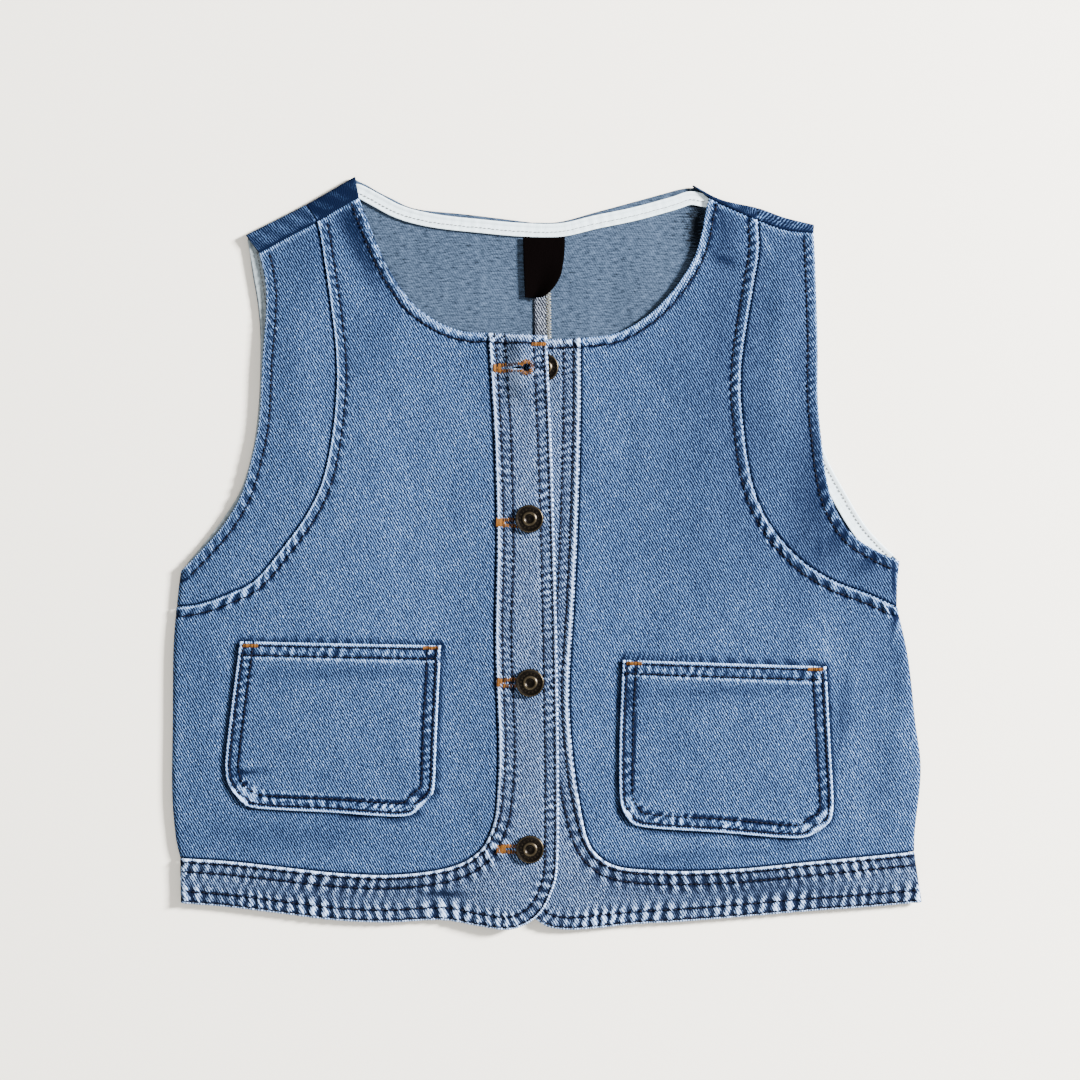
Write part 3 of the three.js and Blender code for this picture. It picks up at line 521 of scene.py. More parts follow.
def make_mesh(name, points, faces, material, flat=None, values=None, replaces=()):
    """An object of its own from arrays in millimetres, riding on the vest."""
    mesh = bpy.data.meshes.new(name)
    place = np.array(points, float)
    place[:, :2] += ORIGIN
    mesh.vertices.add(len(place))
    mesh.vertices.foreach_set("co", (place * MM).ravel())
    faces = [np.asarray(f) for f in (faces if isinstance(faces, list) else [faces])]
    corners = np.concatenate([f.ravel() for f in faces])
    counts = np.concatenate([np.full(len(f), f.shape[1]) for f in faces])
    mesh.loops.add(len(corners))
    mesh.loops.foreach_set("vertex_index", corners.astype(np.int32))
    mesh.polygons.add(len(counts))
    mesh.polygons.foreach_set("loop_start", (np.cumsum(counts) - counts).astype(np.int32))
    mesh.polygons.foreach_set("use_smooth", np.ones(len(counts), bool))
    mesh.update(calc_edges=True)
    if flat is not None:
        layer = mesh.uv_layers.new(name="cloth")
        layer.data.foreach_set("uv", (flat[corners] * MM).astype(np.float32).ravel())
    for key, value in (values or {}).items():
        mesh.attributes.new(key, "FLOAT", "POINT").data.foreach_set("value", value.astype(np.float32))
    if mesh.validate():
        raise RuntimeError(f"{name}: its faces aren't sound")
    mesh.materials.append(material)
    piece = bpy.data.objects.new(name, mesh)
    bpy.context.scene.collection.objects.link(piece)
    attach(piece, "root")
    if replaces:
        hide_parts(*replaces)
    return piece


def flat_size(points):
    """Width and length of the box round the flat pattern, in metres."""
    return tuple(float(v) for v in np.ptp(points.reshape(-1, 2), axis=0) * MM)


def pattern_area(flat, keep=None):
    """Area of the flat pattern in square metres: half the cross product of each cell's diagonals."""
    a, b = flat[1:, 1:] - flat[:-1, :-1], flat[:-1, 1:] - flat[1:, :-1]
    cells = np.abs(a[..., 0] * b[..., 1] - a[..., 1] * b[..., 0]) / 2
    return float((cells if keep is None else cells[keep]).sum()) * MM * MM


def lay_cloth(name, xy, cloth, material, replaces, flat=None, mid=None, wear_and_shade=None,
              keep=None, wrong=(0.0, 1.0), rests_on=(), turned=0.0, cut=None):
    """One cut piece from a grid of plan points, with its flat pattern declared as a sheet.
    `turned` is the width of folded edges that the pattern has beyond what shows, and `cut`
    the pattern where the weave follows the plan instead."""
    if mid is None:
        z, wear_and_shade = cloth.surface(xy)
        mid = np.concatenate([xy, z[..., None]], -1)
    flat = xy if flat is None else flat
    points, faces, place, (worn_and_shaded,), under = shell(mid, cloth.half, flat, [wear_and_shade], keep)
    inside = np.where(under > 0.5, wrong[1], wrong[0])
    piece = make_mesh(name, points, faces, material, place, {"wear_and_shade": worn_and_shaded, "wrong": inside}, replaces)
    cut = flat if cut is None else cut
    width, length = flat_size(cut)
    area = pattern_area(cut, keep) * (length + turned * MM) / length
    length += turned * MM
    SHEETS[name] = dict(flat=(width, length), held="laid", rests_on=list(rests_on),
                        area=min(area, width * length), with_pieces=[])
    return piece


SHEETS = {}
NEAR = [0.05, 1.2, 1.8, 2.4, 3.1, 3.8, 4.6, 5.4, 6.2, 7.0, 8.0, 9.2, 11.0, 13.5]
TUCKED = [0.05, 1.2, 2.0, 3.0, 4.6, 7.0, 10.0]
ROLL = [0.6, 0.75, 1.05, 1.5, 2.2, 3.0, 4.0, 5.2, 6.6, 8.2]


# The lines of the vest
def build_lines(side, band):
    lines = {key: line_of(rows) for key, rows in side.items()}
    lines["seam"] = line_of(column(band, 0, 1))
    lines["free"] = line_of(column(band, 2, 3))
    lines["top"] = evenly(np.array([band[-1][:2], band[-1][2:4]], float), 1.0)
    lines["sides"] = np.vstack([lines["body_side"][:-1], lines["panel_side"]])
    lines["band_side"] = evenly(np.array([band[0][2:4], band[0][:2]], float), 1.0)
    return lines


L, R = build_lines(LEFT, LEFT_BAND), build_lines(RIGHT, RIGHT_BAND)


def pocket_outline(rows):
    return evenly(catmull(rows, np.linspace(0, 1, 1200)), 1.0)


def pocket_head(rows):
    return evenly(np.array([rows[0], rows[-1]], float), 1.0)


def cloths():
    """Every cut piece of the front, with how its edges are finished."""
    made = {}
    for key, lines, level, pocket, seed in (("left", L, left_level, LEFT_POCKET, 10),
                                            ("right", R, right_level, RIGHT_POCKET, 50)):
        outline, head = pocket_outline(pocket), pocket_head(pocket)
        foot = outline[outline[:, 1] < pocket[POCKET_FOOT[key]][1]]
        # On the body, the band seam's finish paints a shadow line beside the band, and the pocket's outline and top
        # paint the pocket's shadow round it.
        made["body_" + key] = Cloth(level, [
            (lines["princess"], "lap", seed + 1), (lines["seam"], "tuck", seed + 2),
            (lines["front_neck"], "neck", seed + 3), (lines["shoulder_seam"], "shoulder", seed + 4),
            (outline, "shade", seed + 5), (head, "shade", seed + 6)], side=lines["sides"])
        # On the panel, the princess seam's finish paints a shadow line beside the body's lapped edge.
        made["panel_" + key] = Cloth(level, [
            (lines["princess"], "tuck", seed + 1), (lines["front_armhole"], "armhole", seed + 7),
            (lines["shoulder_seam"], "shoulder", seed + 4)], side=lines["sides"])
        made["band_" + key] = Cloth(level, [
            (lines["seam"], "band_seam", seed + 2), (lines["free"], "band_edge", seed + 8),
            (lines["top"], "neck", seed + 9)], half=0.85, side=lines["band_side"], fade=0.08)
        made["pocket_" + key] = Cloth(lambda xy, level=level: level(xy) + DENIM + GAP, [
            (outline, "pocket_side", seed + 11), (foot, "pocket_foot", seed + 13),
            (head, "pocket_top", seed + 12)], fade=-0.05)
    return made


def body_grid(side, band):
    """Plan of a front body: across from the princess seam to the band, up from the side to
    the shoulder and neck."""
    start, end = by_length(side["princess"]), by_length(column(band, 0, 1))
    head = chain((by_rows(side["shoulder_seam"], 0.5, 1), 3), (by_length(side["front_neck"]), 8))
    foot = backwards(by_length(side["body_side"]))
    v = stations(400, ROLL, NEAR, 1.5)[:, 0]
    rough = coons(foot, head, start, end, *np.meshgrid(np.linspace(0, 1, 40), v, indexing="ij"))
    widths = np.linalg.norm(np.diff(rough, axis=0), axis=-1).sum(0)
    u = stations(widths, NEAR, TUCKED, 4.0, (3 / 11,))
    return coons(foot, head, start, end, u, np.broadcast_to(v, u.shape))


def panel_grid(side):
    """Plan of a front armhole panel: across from the armhole to the princess seam."""
    start, end = by_length(side["front_armhole"]), by_length(side["princess"])
    head = by_rows(side["shoulder_seam"], 0, 0.5)
    foot = backwards(by_length(side["panel_side"]))
    v = stations(280, ROLL, TUCKED, 1.4)[:, 0]
    rough = coons(foot, head, start, end, *np.meshgrid(np.linspace(0, 1, 20), v, indexing="ij"))
    widths = np.linalg.norm(np.diff(rough, axis=0), axis=-1).sum(0)
    u = stations(widths, NEAR, TUCKED, 3.0)
    return coons(foot, head, start, end, u, np.broadcast_to(v, u.shape))


def band_grid(band, slits=()):
    """Plan of a front band: each row runs straight from the seam to the free edge. Two rows
    lie on each slit, a hair apart, and the cloth between them is left out and opened."""
    seam, free = by_rows(column(band, 0, 1)), by_rows(column(band, 2, 3))
    # Even in the longer of the two edges, so that no cell of the corner is large
    run = np.concatenate([[0.0], np.cumsum(np.maximum(*[np.linalg.norm(np.diff(p, axis=0), axis=1)
                                                        for p in (seam[1], free[1])]))])
    t = np.interp(stations(run[-1], [1.0] + ROLL[2:], NEAR[:10], 1.3)[:, 0] * run[-1], run, seam[0])
    s = stations(36, NEAR[:11], NEAR[:11], 1.3)[:, 0]
    middle = np.array([(at(seam, v) + at(free, v)) / 2 for v in t])
    for x, y in slits:
        near = np.interp(y, middle[40:, 1], t[40:])
        t = np.sort(np.concatenate([t[np.abs(t - near) > 0.9 / run[-1]], [near - 1e-5, near + 1e-5]]))
        middle = np.array([(at(seam, v) + at(free, v)) / 2 for v in t])
    a, b = at(seam, t), at(free, t)
    xy = a[None] + (b - a)[None] * s[:, None, None]
    # Cut straight: across and along, with the warp along the band
    across = s[:, None] * np.linalg.norm(b - a, axis=1) * np.sign(b[-1, 0] - a[-1, 0])
    flat = np.stack(np.broadcast_arrays(across, run_of(middle)[None]), -1)
    keep = np.ones((len(s) - 1, len(t) - 1), bool)
    for x, y in slits:
        near = np.interp(y, middle[40:, 1], t[40:])
        j = int(np.searchsorted(t, near)) - 1
        from_eye = xy[..., 0] - x
        eye = np.sqrt(np.clip(EYE_RADIUS ** 2 - from_eye ** 2, 0, None))
        slit = SLIT_HALF * rise(from_eye, -SLIT_OPEN, -SLIT_OPEN / 2) * (from_eye < 0)
        opening = np.maximum(eye, slit)
        rows = np.arange(len(t))[None]
        gap = np.abs(xy[..., 1] - xy[:, j:j + 1, 1])
        xy[..., 1] += np.where(rows > j, 1, -1) * opening * np.exp(-((gap / 4.0) ** 2))
        inside = opening[:, j] > 0
        keep[:, j] = ~(inside[1:] & inside[:-1])
    return xy, flat, keep


def split_pocket(rows, corners):
    """Tracks of a pocket's foot, head, left and right side."""
    n = len(rows) - 1
    a, b = corners[0] / n, corners[1] / n
    left = backwards(by_length(rows, 0, a))
    right = by_length(rows, b, 1)
    foot = by_length(rows, a, b)
    head = by_rows([rows[0], rows[-1]])
    return foot, head, left, right


def pocket_grid(rows, corners):
    foot, head, left, right = split_pocket(rows, corners)
    u = stations(118, NEAR, NEAR, 2.2)[:, 0]
    v = stations(100, NEAR, NEAR, 2.2)[:, 0]
    return coons(foot, head, left, right, *np.meshgrid(u, v, indexing="ij"))


# Stitches
def stitch_row(line, cloth, pitch=3.1, length=2.5, lift=0.1, wobble=0.12, seed=1, trim=(0.0, 0.0)):
    """Ends of the stitches of one row: even steps along the line, each a little off it, and
    as high as the top of the cloth at both its ends."""
    run = run_of(line)
    middle = np.arange(trim[0] + pitch / 2, run[-1] - trim[1] - pitch / 4, pitch)
    off = np.random.default_rng(seed).normal(0, wobble, (len(middle), 2))
    ends = []
    for part in (-0.5, 0.5):
        place = middle + part * length
        xy = np.stack([np.interp(place, run, line[:, k]) for k in range(2)], -1) + off
        ends.append(np.concatenate([xy, cloth.surface(xy)[0][:, None] + cloth.half + lift], -1))
    return np.stack(ends, 1)


def thread_mesh(ends, radius, sides=5, dip=0.35):
    """One short thread for each pair of ends: rings of points round the line between them,
    thin at both ends, where they go down into the cloth, and full between."""
    a, b = ends[:, 0], ends[:, 1]
    way = b - a
    way /= np.linalg.norm(way, axis=1)[:, None]
    side = np.cross(way, [0, 0, 1.0])
    side /= np.maximum(np.linalg.norm(side, axis=1), 1e-9)[:, None]
    up = np.cross(side, way)
    shares, fat, down = (0.0, 0.16, 0.84, 1.0), (0.45, 1.0, 1.0, 0.45), (-dip, 0.06, 0.06, -dip)
    angle = np.arange(sides) * 2 * np.pi / sides
    rings = []
    for share, size, z in zip(shares, fat, down):
        centre = a + (b - a) * share + up * z
        rings.append(centre[:, None] + radius * size * (side[:, None] * np.cos(angle)[None, :, None]
                                                        + up[:, None] * np.sin(angle)[None, :, None]))
    points = np.stack(rings, 1).reshape(-1, 3)
    k = np.arange(sides)
    one = [np.stack([r * sides + k, r * sides + (k + 1) % sides, (r + 1) * sides + (k + 1) % sides,
                     (r + 1) * sides + k], -1) for r in range(3)]
    quads = np.vstack(one)
    step = (np.arange(len(ends)) * 4 * sides)[:, None, None]
    caps = np.stack([k[::-1], k + 3 * sides])
    return points, [(quads[None] + step).reshape(-1, 4), (caps[None] + step).reshape(-1, sides)]


def sew(name, rows, material, on, radius=None):
    """All the stitches of one colour on one piece, as one mesh."""
    ends = np.concatenate(rows)
    radius = sizes().thread_radius if radius is None else radius
    points, faces = thread_mesh(ends, radius)
    points[:, 2] = np.maximum(points[:, 2], 0)
    shade = np.repeat(np.random.default_rng(len(ends)).uniform(0, 1, len(ends)), len(points) // len(ends))
    piece = make_mesh(name, points, faces, material, values={"strand": shade})
    for cloth_name in on:
        SHEETS[cloth_name]["with_pieces"].append(piece)
    return piece


# Shader nodes
def node(tree, kind, inputs=None, **settings):
    made = tree.nodes.new(kind)
    for key, value in settings.items():
        setattr(made, key, value)
    for key, value in (inputs or {}).items():
        if isinstance(value, bpy.types.NodeSocket):
            tree.links.new(value, made.inputs[key])
        else:
            made.inputs[key].default_value = value
    return made


def calc(tree, operation, a, b=0.0, clamp=False):
    return node(tree, "ShaderNodeMath", {0: a, 1: b}, operation=operation, use_clamp=clamp).outputs[0]


def noise(tree, vector, scale, detail=2.0, rough=0.55):
    return node(tree, "ShaderNodeTexNoise", {"Vector": vector, "Scale": scale, "Detail": detail,
                                             "Roughness": rough}).outputs[0]


def swing(tree, value, amount):
    """A noise turned into a swing round nought: (value - 0.5) times the amount."""
    return calc(tree, "MULTIPLY", calc(tree, "SUBTRACT", value, 0.5), amount)


def stretched(tree, vector, scale, turn=0.0):
    return node(tree, "ShaderNodeMapping", {"Vector": vector, "Rotation": (0, 0, math.radians(turn)),
                                            "Scale": scale}).outputs[0]


def mixed(tree, factor, a, b):
    return node(tree, "ShaderNodeMix", {0: factor, 6: a, 7: b}, data_type="RGBA").outputs[2]


def twill_group():
    """Worn twill: slanting wales, streaks along them, warp yarns that differ, mottling, and
    dye that goes from deep to bleached as its first input rises; that input holds rubbed and faded
    dye and also painted shade and light. The wrong side is greyer and heathered."""
    if "worn_twill" in bpy.data.node_groups:
        return bpy.data.node_groups["worn_twill"]
    tree = bpy.data.node_groups.new("worn_twill", "ShaderNodeTree")
    for name, kind, default in (("Wear and shade", "NodeSocketFloat", 0.0), ("Wrong side", "NodeSocketFloat", 0.0),
                                ("Contrast", "NodeSocketFloat", 1.0),
                                ("Deep", "NodeSocketColor", (0.01, 0.02, 0.06, 1)),
                                ("Dark", "NodeSocketColor", (0.05, 0.1, 0.2, 1)),
                                ("Middle", "NodeSocketColor", (0.14, 0.23, 0.39, 1)),
                                ("Pale", "NodeSocketColor", (0.4, 0.5, 0.65, 1)),
                                ("Bleached", "NodeSocketColor", (0.75, 0.8, 0.88, 1)),
                                ("Inside", "NodeSocketColor", (0.16, 0.23, 0.32, 1))):
        tree.interface.new_socket(name, in_out="INPUT", socket_type=kind).default_value = default
    for name, kind in (("Colour", "NodeSocketColor"), ("Height", "NodeSocketFloat"),
                       ("Roughness", "NodeSocketFloat")):
        tree.interface.new_socket(name, in_out="OUTPUT", socket_type=kind)
    given = node(tree, "NodeGroupInput").outputs
    out = node(tree, "NodeGroupOutput")
    uv = node(tree, "ShaderNodeUVMap", uv_map="cloth").outputs[0]
    mm = node(tree, "ShaderNodeVectorMath", {0: uv, 1: (1000, 1000, 1000)}, operation="MULTIPLY").outputs[0]
    wander = swing(tree, noise(tree, mm, 0.5, 2.0), 6.0)
    # Across the wales, which slant down to the right at 60 degrees
    slant = stretched(tree, mm, (1, 1, 1), -30)
    across = node(tree, "ShaderNodeSeparateXYZ", {0: slant}).outputs[0]
    phase = calc(tree, "ADD", calc(tree, "MULTIPLY", across, 2 * math.pi / 1.45), wander)
    wale = calc(tree, "SINE", phase)
    streak = noise(tree, stretched(tree, slant, (1.7, 0.6, 1)), 1.0, 2.0, 0.6)
    yarn = noise(tree, stretched(tree, mm, (1.9, 0.12, 1)), 1.0, 1.0)
    speck = noise(tree, mm, 2.4, 1.0)
    mottle = noise(tree, stretched(tree, mm, (1, 0.45, 1)), 0.05, 3.0, 0.6)
    grain = calc(tree, "ADD", calc(tree, "MULTIPLY", wale, 0.50),
                 calc(tree, "ADD", swing(tree, streak, 1.1), swing(tree, yarn, 0.4)))
    grain = calc(tree, "ADD", grain, swing(tree, speck, 0.7))
    # Worn edges and the dark lines beside them are plainer than the cloth between
    plainer = calc(tree, "MINIMUM", calc(tree, "ABSOLUTE", given["Wear and shade"]), 1.0)
    plainer = calc(tree, "SUBTRACT", given["Contrast"], calc(tree, "MULTIPLY", plainer, 0.5))
    grain = calc(tree, "MULTIPLY", grain, plainer)
    tone = calc(tree, "ADD", calc(tree, "ADD", 0.27, grain), swing(tree, mottle, 0.24))
    tone = calc(tree, "ADD", tone, calc(tree, "MULTIPLY", given["Wear and shade"], 0.58))
    # One blend after another, from deep to bleached, each over its own part of the tone
    colour = given["Deep"]
    for name, low, high in (("Dark", 0.0, 0.25), ("Middle", 0.25, 0.5), ("Pale", 0.5, 0.78),
                            ("Bleached", 0.86, 1.12)):
        part = node(tree, "ShaderNodeMapRange", {0: tone, 1: low, 2: high}).outputs[0]
        colour = mixed(tree, part, colour, given[name])
    heather = noise(tree, stretched(tree, mm, (0.22, 0.95, 1)), 1.0, 2.0, 0.7)
    plain = calc(tree, "ADD", swing(tree, heather, 3.6), swing(tree, speck, 1.6))
    plain = calc(tree, "ADD", calc(tree, "ADD", 0.97, plain), swing(tree, mottle, 0.5))
    plain = calc(tree, "MAXIMUM", calc(tree, "ADD", plain, given["Wear and shade"]), 0.08)
    inside = node(tree, "ShaderNodeVectorMath", {0: given["Inside"], "Scale": plain},
                  operation="SCALE").outputs[0]
    tree.links.new(mixed(tree, given["Wrong side"], colour, inside), out.inputs["Colour"])
    height = calc(tree, "ADD", calc(tree, "MULTIPLY", wale, 0.35), calc(tree, "ADD", streak, speck))
    tree.links.new(height, out.inputs["Height"])
    rough = calc(tree, "ADD", 0.78, swing(tree, speck, 0.2), clamp=True)
    tree.links.new(rough, out.inputs["Roughness"])
    return tree


def attribute(tree, name):
    return node(tree, "ShaderNodeAttribute", attribute_name=name).outputs["Fac"]


def new_material(name):
    if name in bpy.data.materials:
        return bpy.data.materials[name], None, None
    material = bpy.data.materials.new(name)
    material.use_nodes = True
    tree = material.node_tree
    return material, tree, tree.nodes["Principled BSDF"]


def bump(tree, shader, height, strength, distance):
    made = node(tree, "ShaderNodeBump", {"Strength": strength, "Distance": distance, "Height": height})
    tree.links.new(made.outputs[0], shader.inputs["Normal"])


def denim_material(name="washed_denim", contrast=1.12, grey=0.0):
    """Washed indigo denim. `grey` pulls the dye towards grey, as on the bands."""
    material, tree, shader = new_material(name)
    if tree is None:
        return material
    c = colours()

    def toned(colour):
        level = 0.3 * colour[0] + 0.55 * colour[1] + 0.15 * colour[2]
        return (*[v + (level - v) * grey for v in colour], 1)

    cloth = node(tree, "ShaderNodeGroup", node_tree=twill_group())
    for socket, value in (("Contrast", contrast), ("Deep", toned(c.deep)), ("Dark", toned(c.dark)),
                          ("Middle", toned(c.middle)), ("Pale", toned(c.pale)),
                          ("Bleached", toned(c.bleached)), ("Inside", (*c.inside, 1))):
        cloth.inputs[socket].default_value = value
    # This attribute holds rubbed and faded dye together with painted shade and light.
    tree.links.new(attribute(tree, "wear_and_shade"), cloth.inputs["Wear and shade"])
    tree.links.new(attribute(tree, "wrong"), cloth.inputs["Wrong side"])
    tree.links.new(cloth.outputs["Colour"], shader.inputs["Base Color"])
    tree.links.new(cloth.outputs["Roughness"], shader.inputs["Roughness"])
    shader.inputs["Specular IOR Level"].default_value = 0.03
    bump(tree, shader, cloth.outputs["Height"], 0.55, 0.0002)
    return material


def weave_material(name, colour, scale, swingness, roughness, strength=0.4):
    """Plain woven tape or ribbon: two crossed sets of yarns, each a stretched noise."""
    material, tree, shader = new_material(name)
    if tree is None:
        return material
    uv = node(tree, "ShaderNodeUVMap", uv_map="cloth").outputs[0]
    weft = noise(tree, stretched(tree, uv, (scale * 0.2, scale, 1)), 1.0, 2.0)
    warp = noise(tree, stretched(tree, uv, (scale, scale * 0.2, 1)), 1.0, 2.0)
    yarns = calc(tree, "ADD", weft, warp)
    level = calc(tree, "ADD", 1.0, swing(tree, calc(tree, "MULTIPLY", yarns, 0.5), swingness))
    # The attribute adds rubbed and faded yarns and painted shade, as on the left armhole's tape.
    worn_and_shaded = calc(tree, "ADD", level, attribute(tree, "wear_and_shade"))
    shaded = node(tree, "ShaderNodeVectorMath", {0: (*colour, ), "Scale": worn_and_shaded}, operation="SCALE").outputs[0]
    tree.links.new(shaded, shader.inputs["Base Color"])
    tree.links.new(calc(tree, "ADD", roughness, swing(tree, weft, 0.2), clamp=True), shader.inputs["Roughness"])
    shader.inputs["Specular IOR Level"].default_value = 0.005
    bump(tree, shader, yarns, strength, 0.0002)
    return material


def thread_material(name, colour, spread):
    """Sewing thread: each stitch a little lighter or darker, with the twist of its plies."""
    material, tree, shader = new_material(name)
    if tree is None:
        return material
    place = node(tree, "ShaderNodeTexCoord").outputs["Object"]
    fuzz = noise(tree, place, 2200.0, 2.0)
    level = calc(tree, "ADD", calc(tree, "ADD", 1.0, swing(tree, attribute(tree, "strand"), spread)),
                 swing(tree, fuzz, 0.6))
    shaded = node(tree, "ShaderNodeVectorMath", {0: (*colour, ), "Scale": level}, operation="SCALE").outputs[0]
    tree.links.new(shaded, shader.inputs["Base Color"])
    shader.inputs["Roughness"].default_value = 0.6
    shader.inputs["Specular IOR Level"].default_value = 0.05
    bump(tree, shader, fuzz, 0.3, 0.0001)
    return material


def metal_material():
    """Antique bronze: nearly black in its hollows, rubbed to brass where `rub` is high."""
    material, tree, shader = new_material("antique_bronze")
    if tree is None:
        return material
    place = node(tree, "ShaderNodeTexCoord").outputs["Object"]
    spots = noise(tree, place, 900.0, 3.0, 0.6)
    rub = calc(tree, "ADD", attribute(tree, "rub"), swing(tree, spots, 0.7), clamp=True)
    tree.links.new(mixed(tree, rub, (*colours().bronze, 1), (*colours().brass, 1)), shader.inputs["Base Color"])
    tree.links.new(calc(tree, "ADD", 0.34, swing(tree, spots, 0.35), clamp=True), shader.inputs["Roughness"])
    shader.inputs["Metallic"].default_value = 0.9
    bump(tree, shader, spots, 0.25, 0.0001)
    return material


def floor_material():
    material, tree, shader = new_material("pale_floor")
    if tree is None:
        return material
    place = node(tree, "ShaderNodeTexCoord").outputs["Object"]
    soft = noise(tree, place, 3.0, 2.0)
    level = calc(tree, "ADD", 1.0, swing(tree, soft, 0.03))
    shaded = node(tree, "ShaderNodeVectorMath", {0: (*colours().floor, ), "Scale": level},
                  operation="SCALE").outputs[0]
    tree.links.new(shaded, shader.inputs["Base Color"])
    shader.inputs["Roughness"].default_value = 0.95
    shader.inputs["Specular IOR Level"].default_value = 0.1
    return material


def colour_property(name, description, default):
    return bpy.props.FloatVectorProperty(name=name, description=description, default=default,
                                         subtype="COLOR", size=3, min=0, max=1)


class VestSizes(bpy.types.PropertyGroup):
    """Sizes that change the look of the cloth and its sewing."""
    fold_strength: bpy.props.FloatProperty(
        name="Fold strength", description="How deep the small soft folds of the front are",
        default=1.0, min=0.0, max=3.0, subtype="FACTOR")
    thread_radius: bpy.props.FloatProperty(
        name="Thread radius", description="Half the thickness of the sewing thread, in millimetres",
        default=0.43, min=0.1, max=0.6)
    stitch_pitch: bpy.props.FloatProperty(
        name="Stitch pitch", description="From one topstitch to the next, in millimetres",
        default=3.1, min=1.5, max=6.0)


class VestColours(bpy.types.PropertyGroup):
    """Colours of the cloth, the threads, the metal and the floor."""
    deep: colour_property("Unfaded indigo", "Denim where all its dye is left", (0.0011, 0.0036, 0.0150))
    dark: colour_property("Dark indigo", "Denim in seams and hollows", (0.0080, 0.0180, 0.0450))
    middle: colour_property("Washed blue", "Denim over most of the vest", (0.0285, 0.0455, 0.0900))
    pale: colour_property("Pale blue", "Denim on rubbed yarns", (0.066, 0.139, 0.302))
    bleached: colour_property("Bleached", "Denim on worn folded edges", (0.375, 0.540, 0.860))
    inside: colour_property("Wrong side", "The inner face of the denim", (0.0320, 0.0485, 0.0780))
    tape: colour_property("Bias tape", "Tape in the neck and the armholes", (0.68, 0.80, 0.86))
    label: colour_property("Label", "The plain woven label", (0.0010, 0.0006, 0.0006))
    navy_thread: colour_property("Navy thread", "Topstitching", (0.0042, 0.0040, 0.0070))
    orange_thread: colour_property("Orange thread", "Buttonholes and bar tacks", (0.115, 0.045, 0.008))
    cream_thread: colour_property("Cream thread", "Edging of the seam allowance", (0.13, 0.13, 0.11))
    tape_thread: colour_property("Tape thread", "Stitches along the tapes", (0.10, 0.08, 0.07))
    bronze: colour_property("Bronze", "The buttons' hollows", (0.0050, 0.0035, 0.0025))
    brass: colour_property("Brass", "The buttons' rubbed rims", (0.060, 0.046, 0.026))
    floor: colour_property("Floor", "The plain floor", (0.91, 0.86, 0.76))


class VEST_OT_fronts(bpy.types.Operator):
    """Front bodies and front armhole panels, with their seams lapped and hemmed"""
    bl_idname = "vest.fronts"
    bl_label = "Fronts"

    def execute(self, context):
        made, denim = cloths(), denim_material()
        for key, side, band in (("left", LEFT, LEFT_BAND), ("right", RIGHT, RIGHT_BAND)):
            lay_cloth(f"front_body_{key}_cloth", body_grid(side, band), made["body_" + key], denim,
                      [f"front_body_{key}"], rests_on=[f"back_body_{key}"])
            lay_cloth(f"front_armhole_panel_{key}_cloth", panel_grid(side), made["panel_" + key], denim,
                      [f"front_armhole_panel_{key}"], rests_on=[f"back_armhole_panel_{key}"])
        return {"FINISHED"}


class VEST_OT_bands(bpy.types.Operator):
    """Front bands with their hems, and the slits of the buttonholes"""
    bl_idname = "vest.bands"
    bl_label = "Front bands"

    def execute(self, context):
        made, denim = cloths(), denim_material("washed_band_denim", 1.2, 0.2)
        for key, band, slits, under in (("left", LEFT_BAND, HOLES[:3], ["front_band_right"]),
                                        ("right", RIGHT_BAND, (), ["back_body_right"])):
            xy, flat, keep = band_grid(band, slits)
            lay_cloth(f"front_band_{key}_cloth", xy, made["band_" + key], denim, [f"front_band_{key}"],
                      cut=flat, keep=keep, rests_on=under)
        return {"FINISHED"}


class VEST_OT_pockets(bpy.types.Operator):
    """Patch pockets on the fronts"""
    bl_idname = "vest.pockets"
    bl_label = "Pockets"

    def execute(self, context):
        made, denim = cloths(), denim_material("pocket_denim", 1.15)
        for key, rows, corners in (("left", LEFT_POCKET, LEFT_POCKET_ROWS),
                                   ("right", RIGHT_POCKET, RIGHT_POCKET_ROWS)):
            lay_cloth(f"pocket_{key}_cloth", pocket_grid(rows, corners), made["pocket_" + key], denim,
                      [f"pocket_{key}"], rests_on=[f"front_body_{key}"])
        return {"FINISHED"}


BACK_HALF = 0.5
# The back keeps clear of the rolled sides: how far in, and from which share of the princess
# seam on its body begins
SIDE_INSET, SEAM_FROM = 2.2, 0.013
# Dye of the strips that the back panels fold over on to the front. Columns: mean, blotches
STRIPS = {"body_left": (-0.92, 0.65), "panel_left": (-0.36, 0.28), "body_right": (-0.50, 0.36),
          "panel_right": (-0.30, 0.25)}


def over_shoulder(fold, seam):
    """Rows that carry a back panel over its shoulder: a half round beside the fold, then
    straight on to the front's shoulder seam. Returns them with their lengths from the first."""
    outward = fold - seam
    outward /= np.linalg.norm(outward, axis=-1)[..., None]
    centre = fold - outward * (FOLD_RADIUS + BACK_HALF)
    rows, lengths = [], []
    for s in np.linspace(0, 1, 9)[1:]:
        a = s * math.pi
        rows.append(np.concatenate([centre + outward * FOLD_RADIUS * math.sin(a),
                                    np.full((len(fold), 1), BACK_LEVEL + FOLD_RADIUS * (1 - math.cos(a)))], -1))
        lengths.append(np.full(len(fold), FOLD_RADIUS * a))
    reach = np.linalg.norm(centre - seam, axis=-1)
    for s in np.linspace(0, 1, 8)[1:]:
        rows.append(np.concatenate([centre + (seam - centre) * s,
                                    np.full((len(fold), 1), BACK_LEVEL + 2 * FOLD_RADIUS)], -1))
        lengths.append(FOLD_RADIUS * math.pi + reach * s)
    return centre, outward, np.stack(rows, 1), np.stack(lengths, 1)


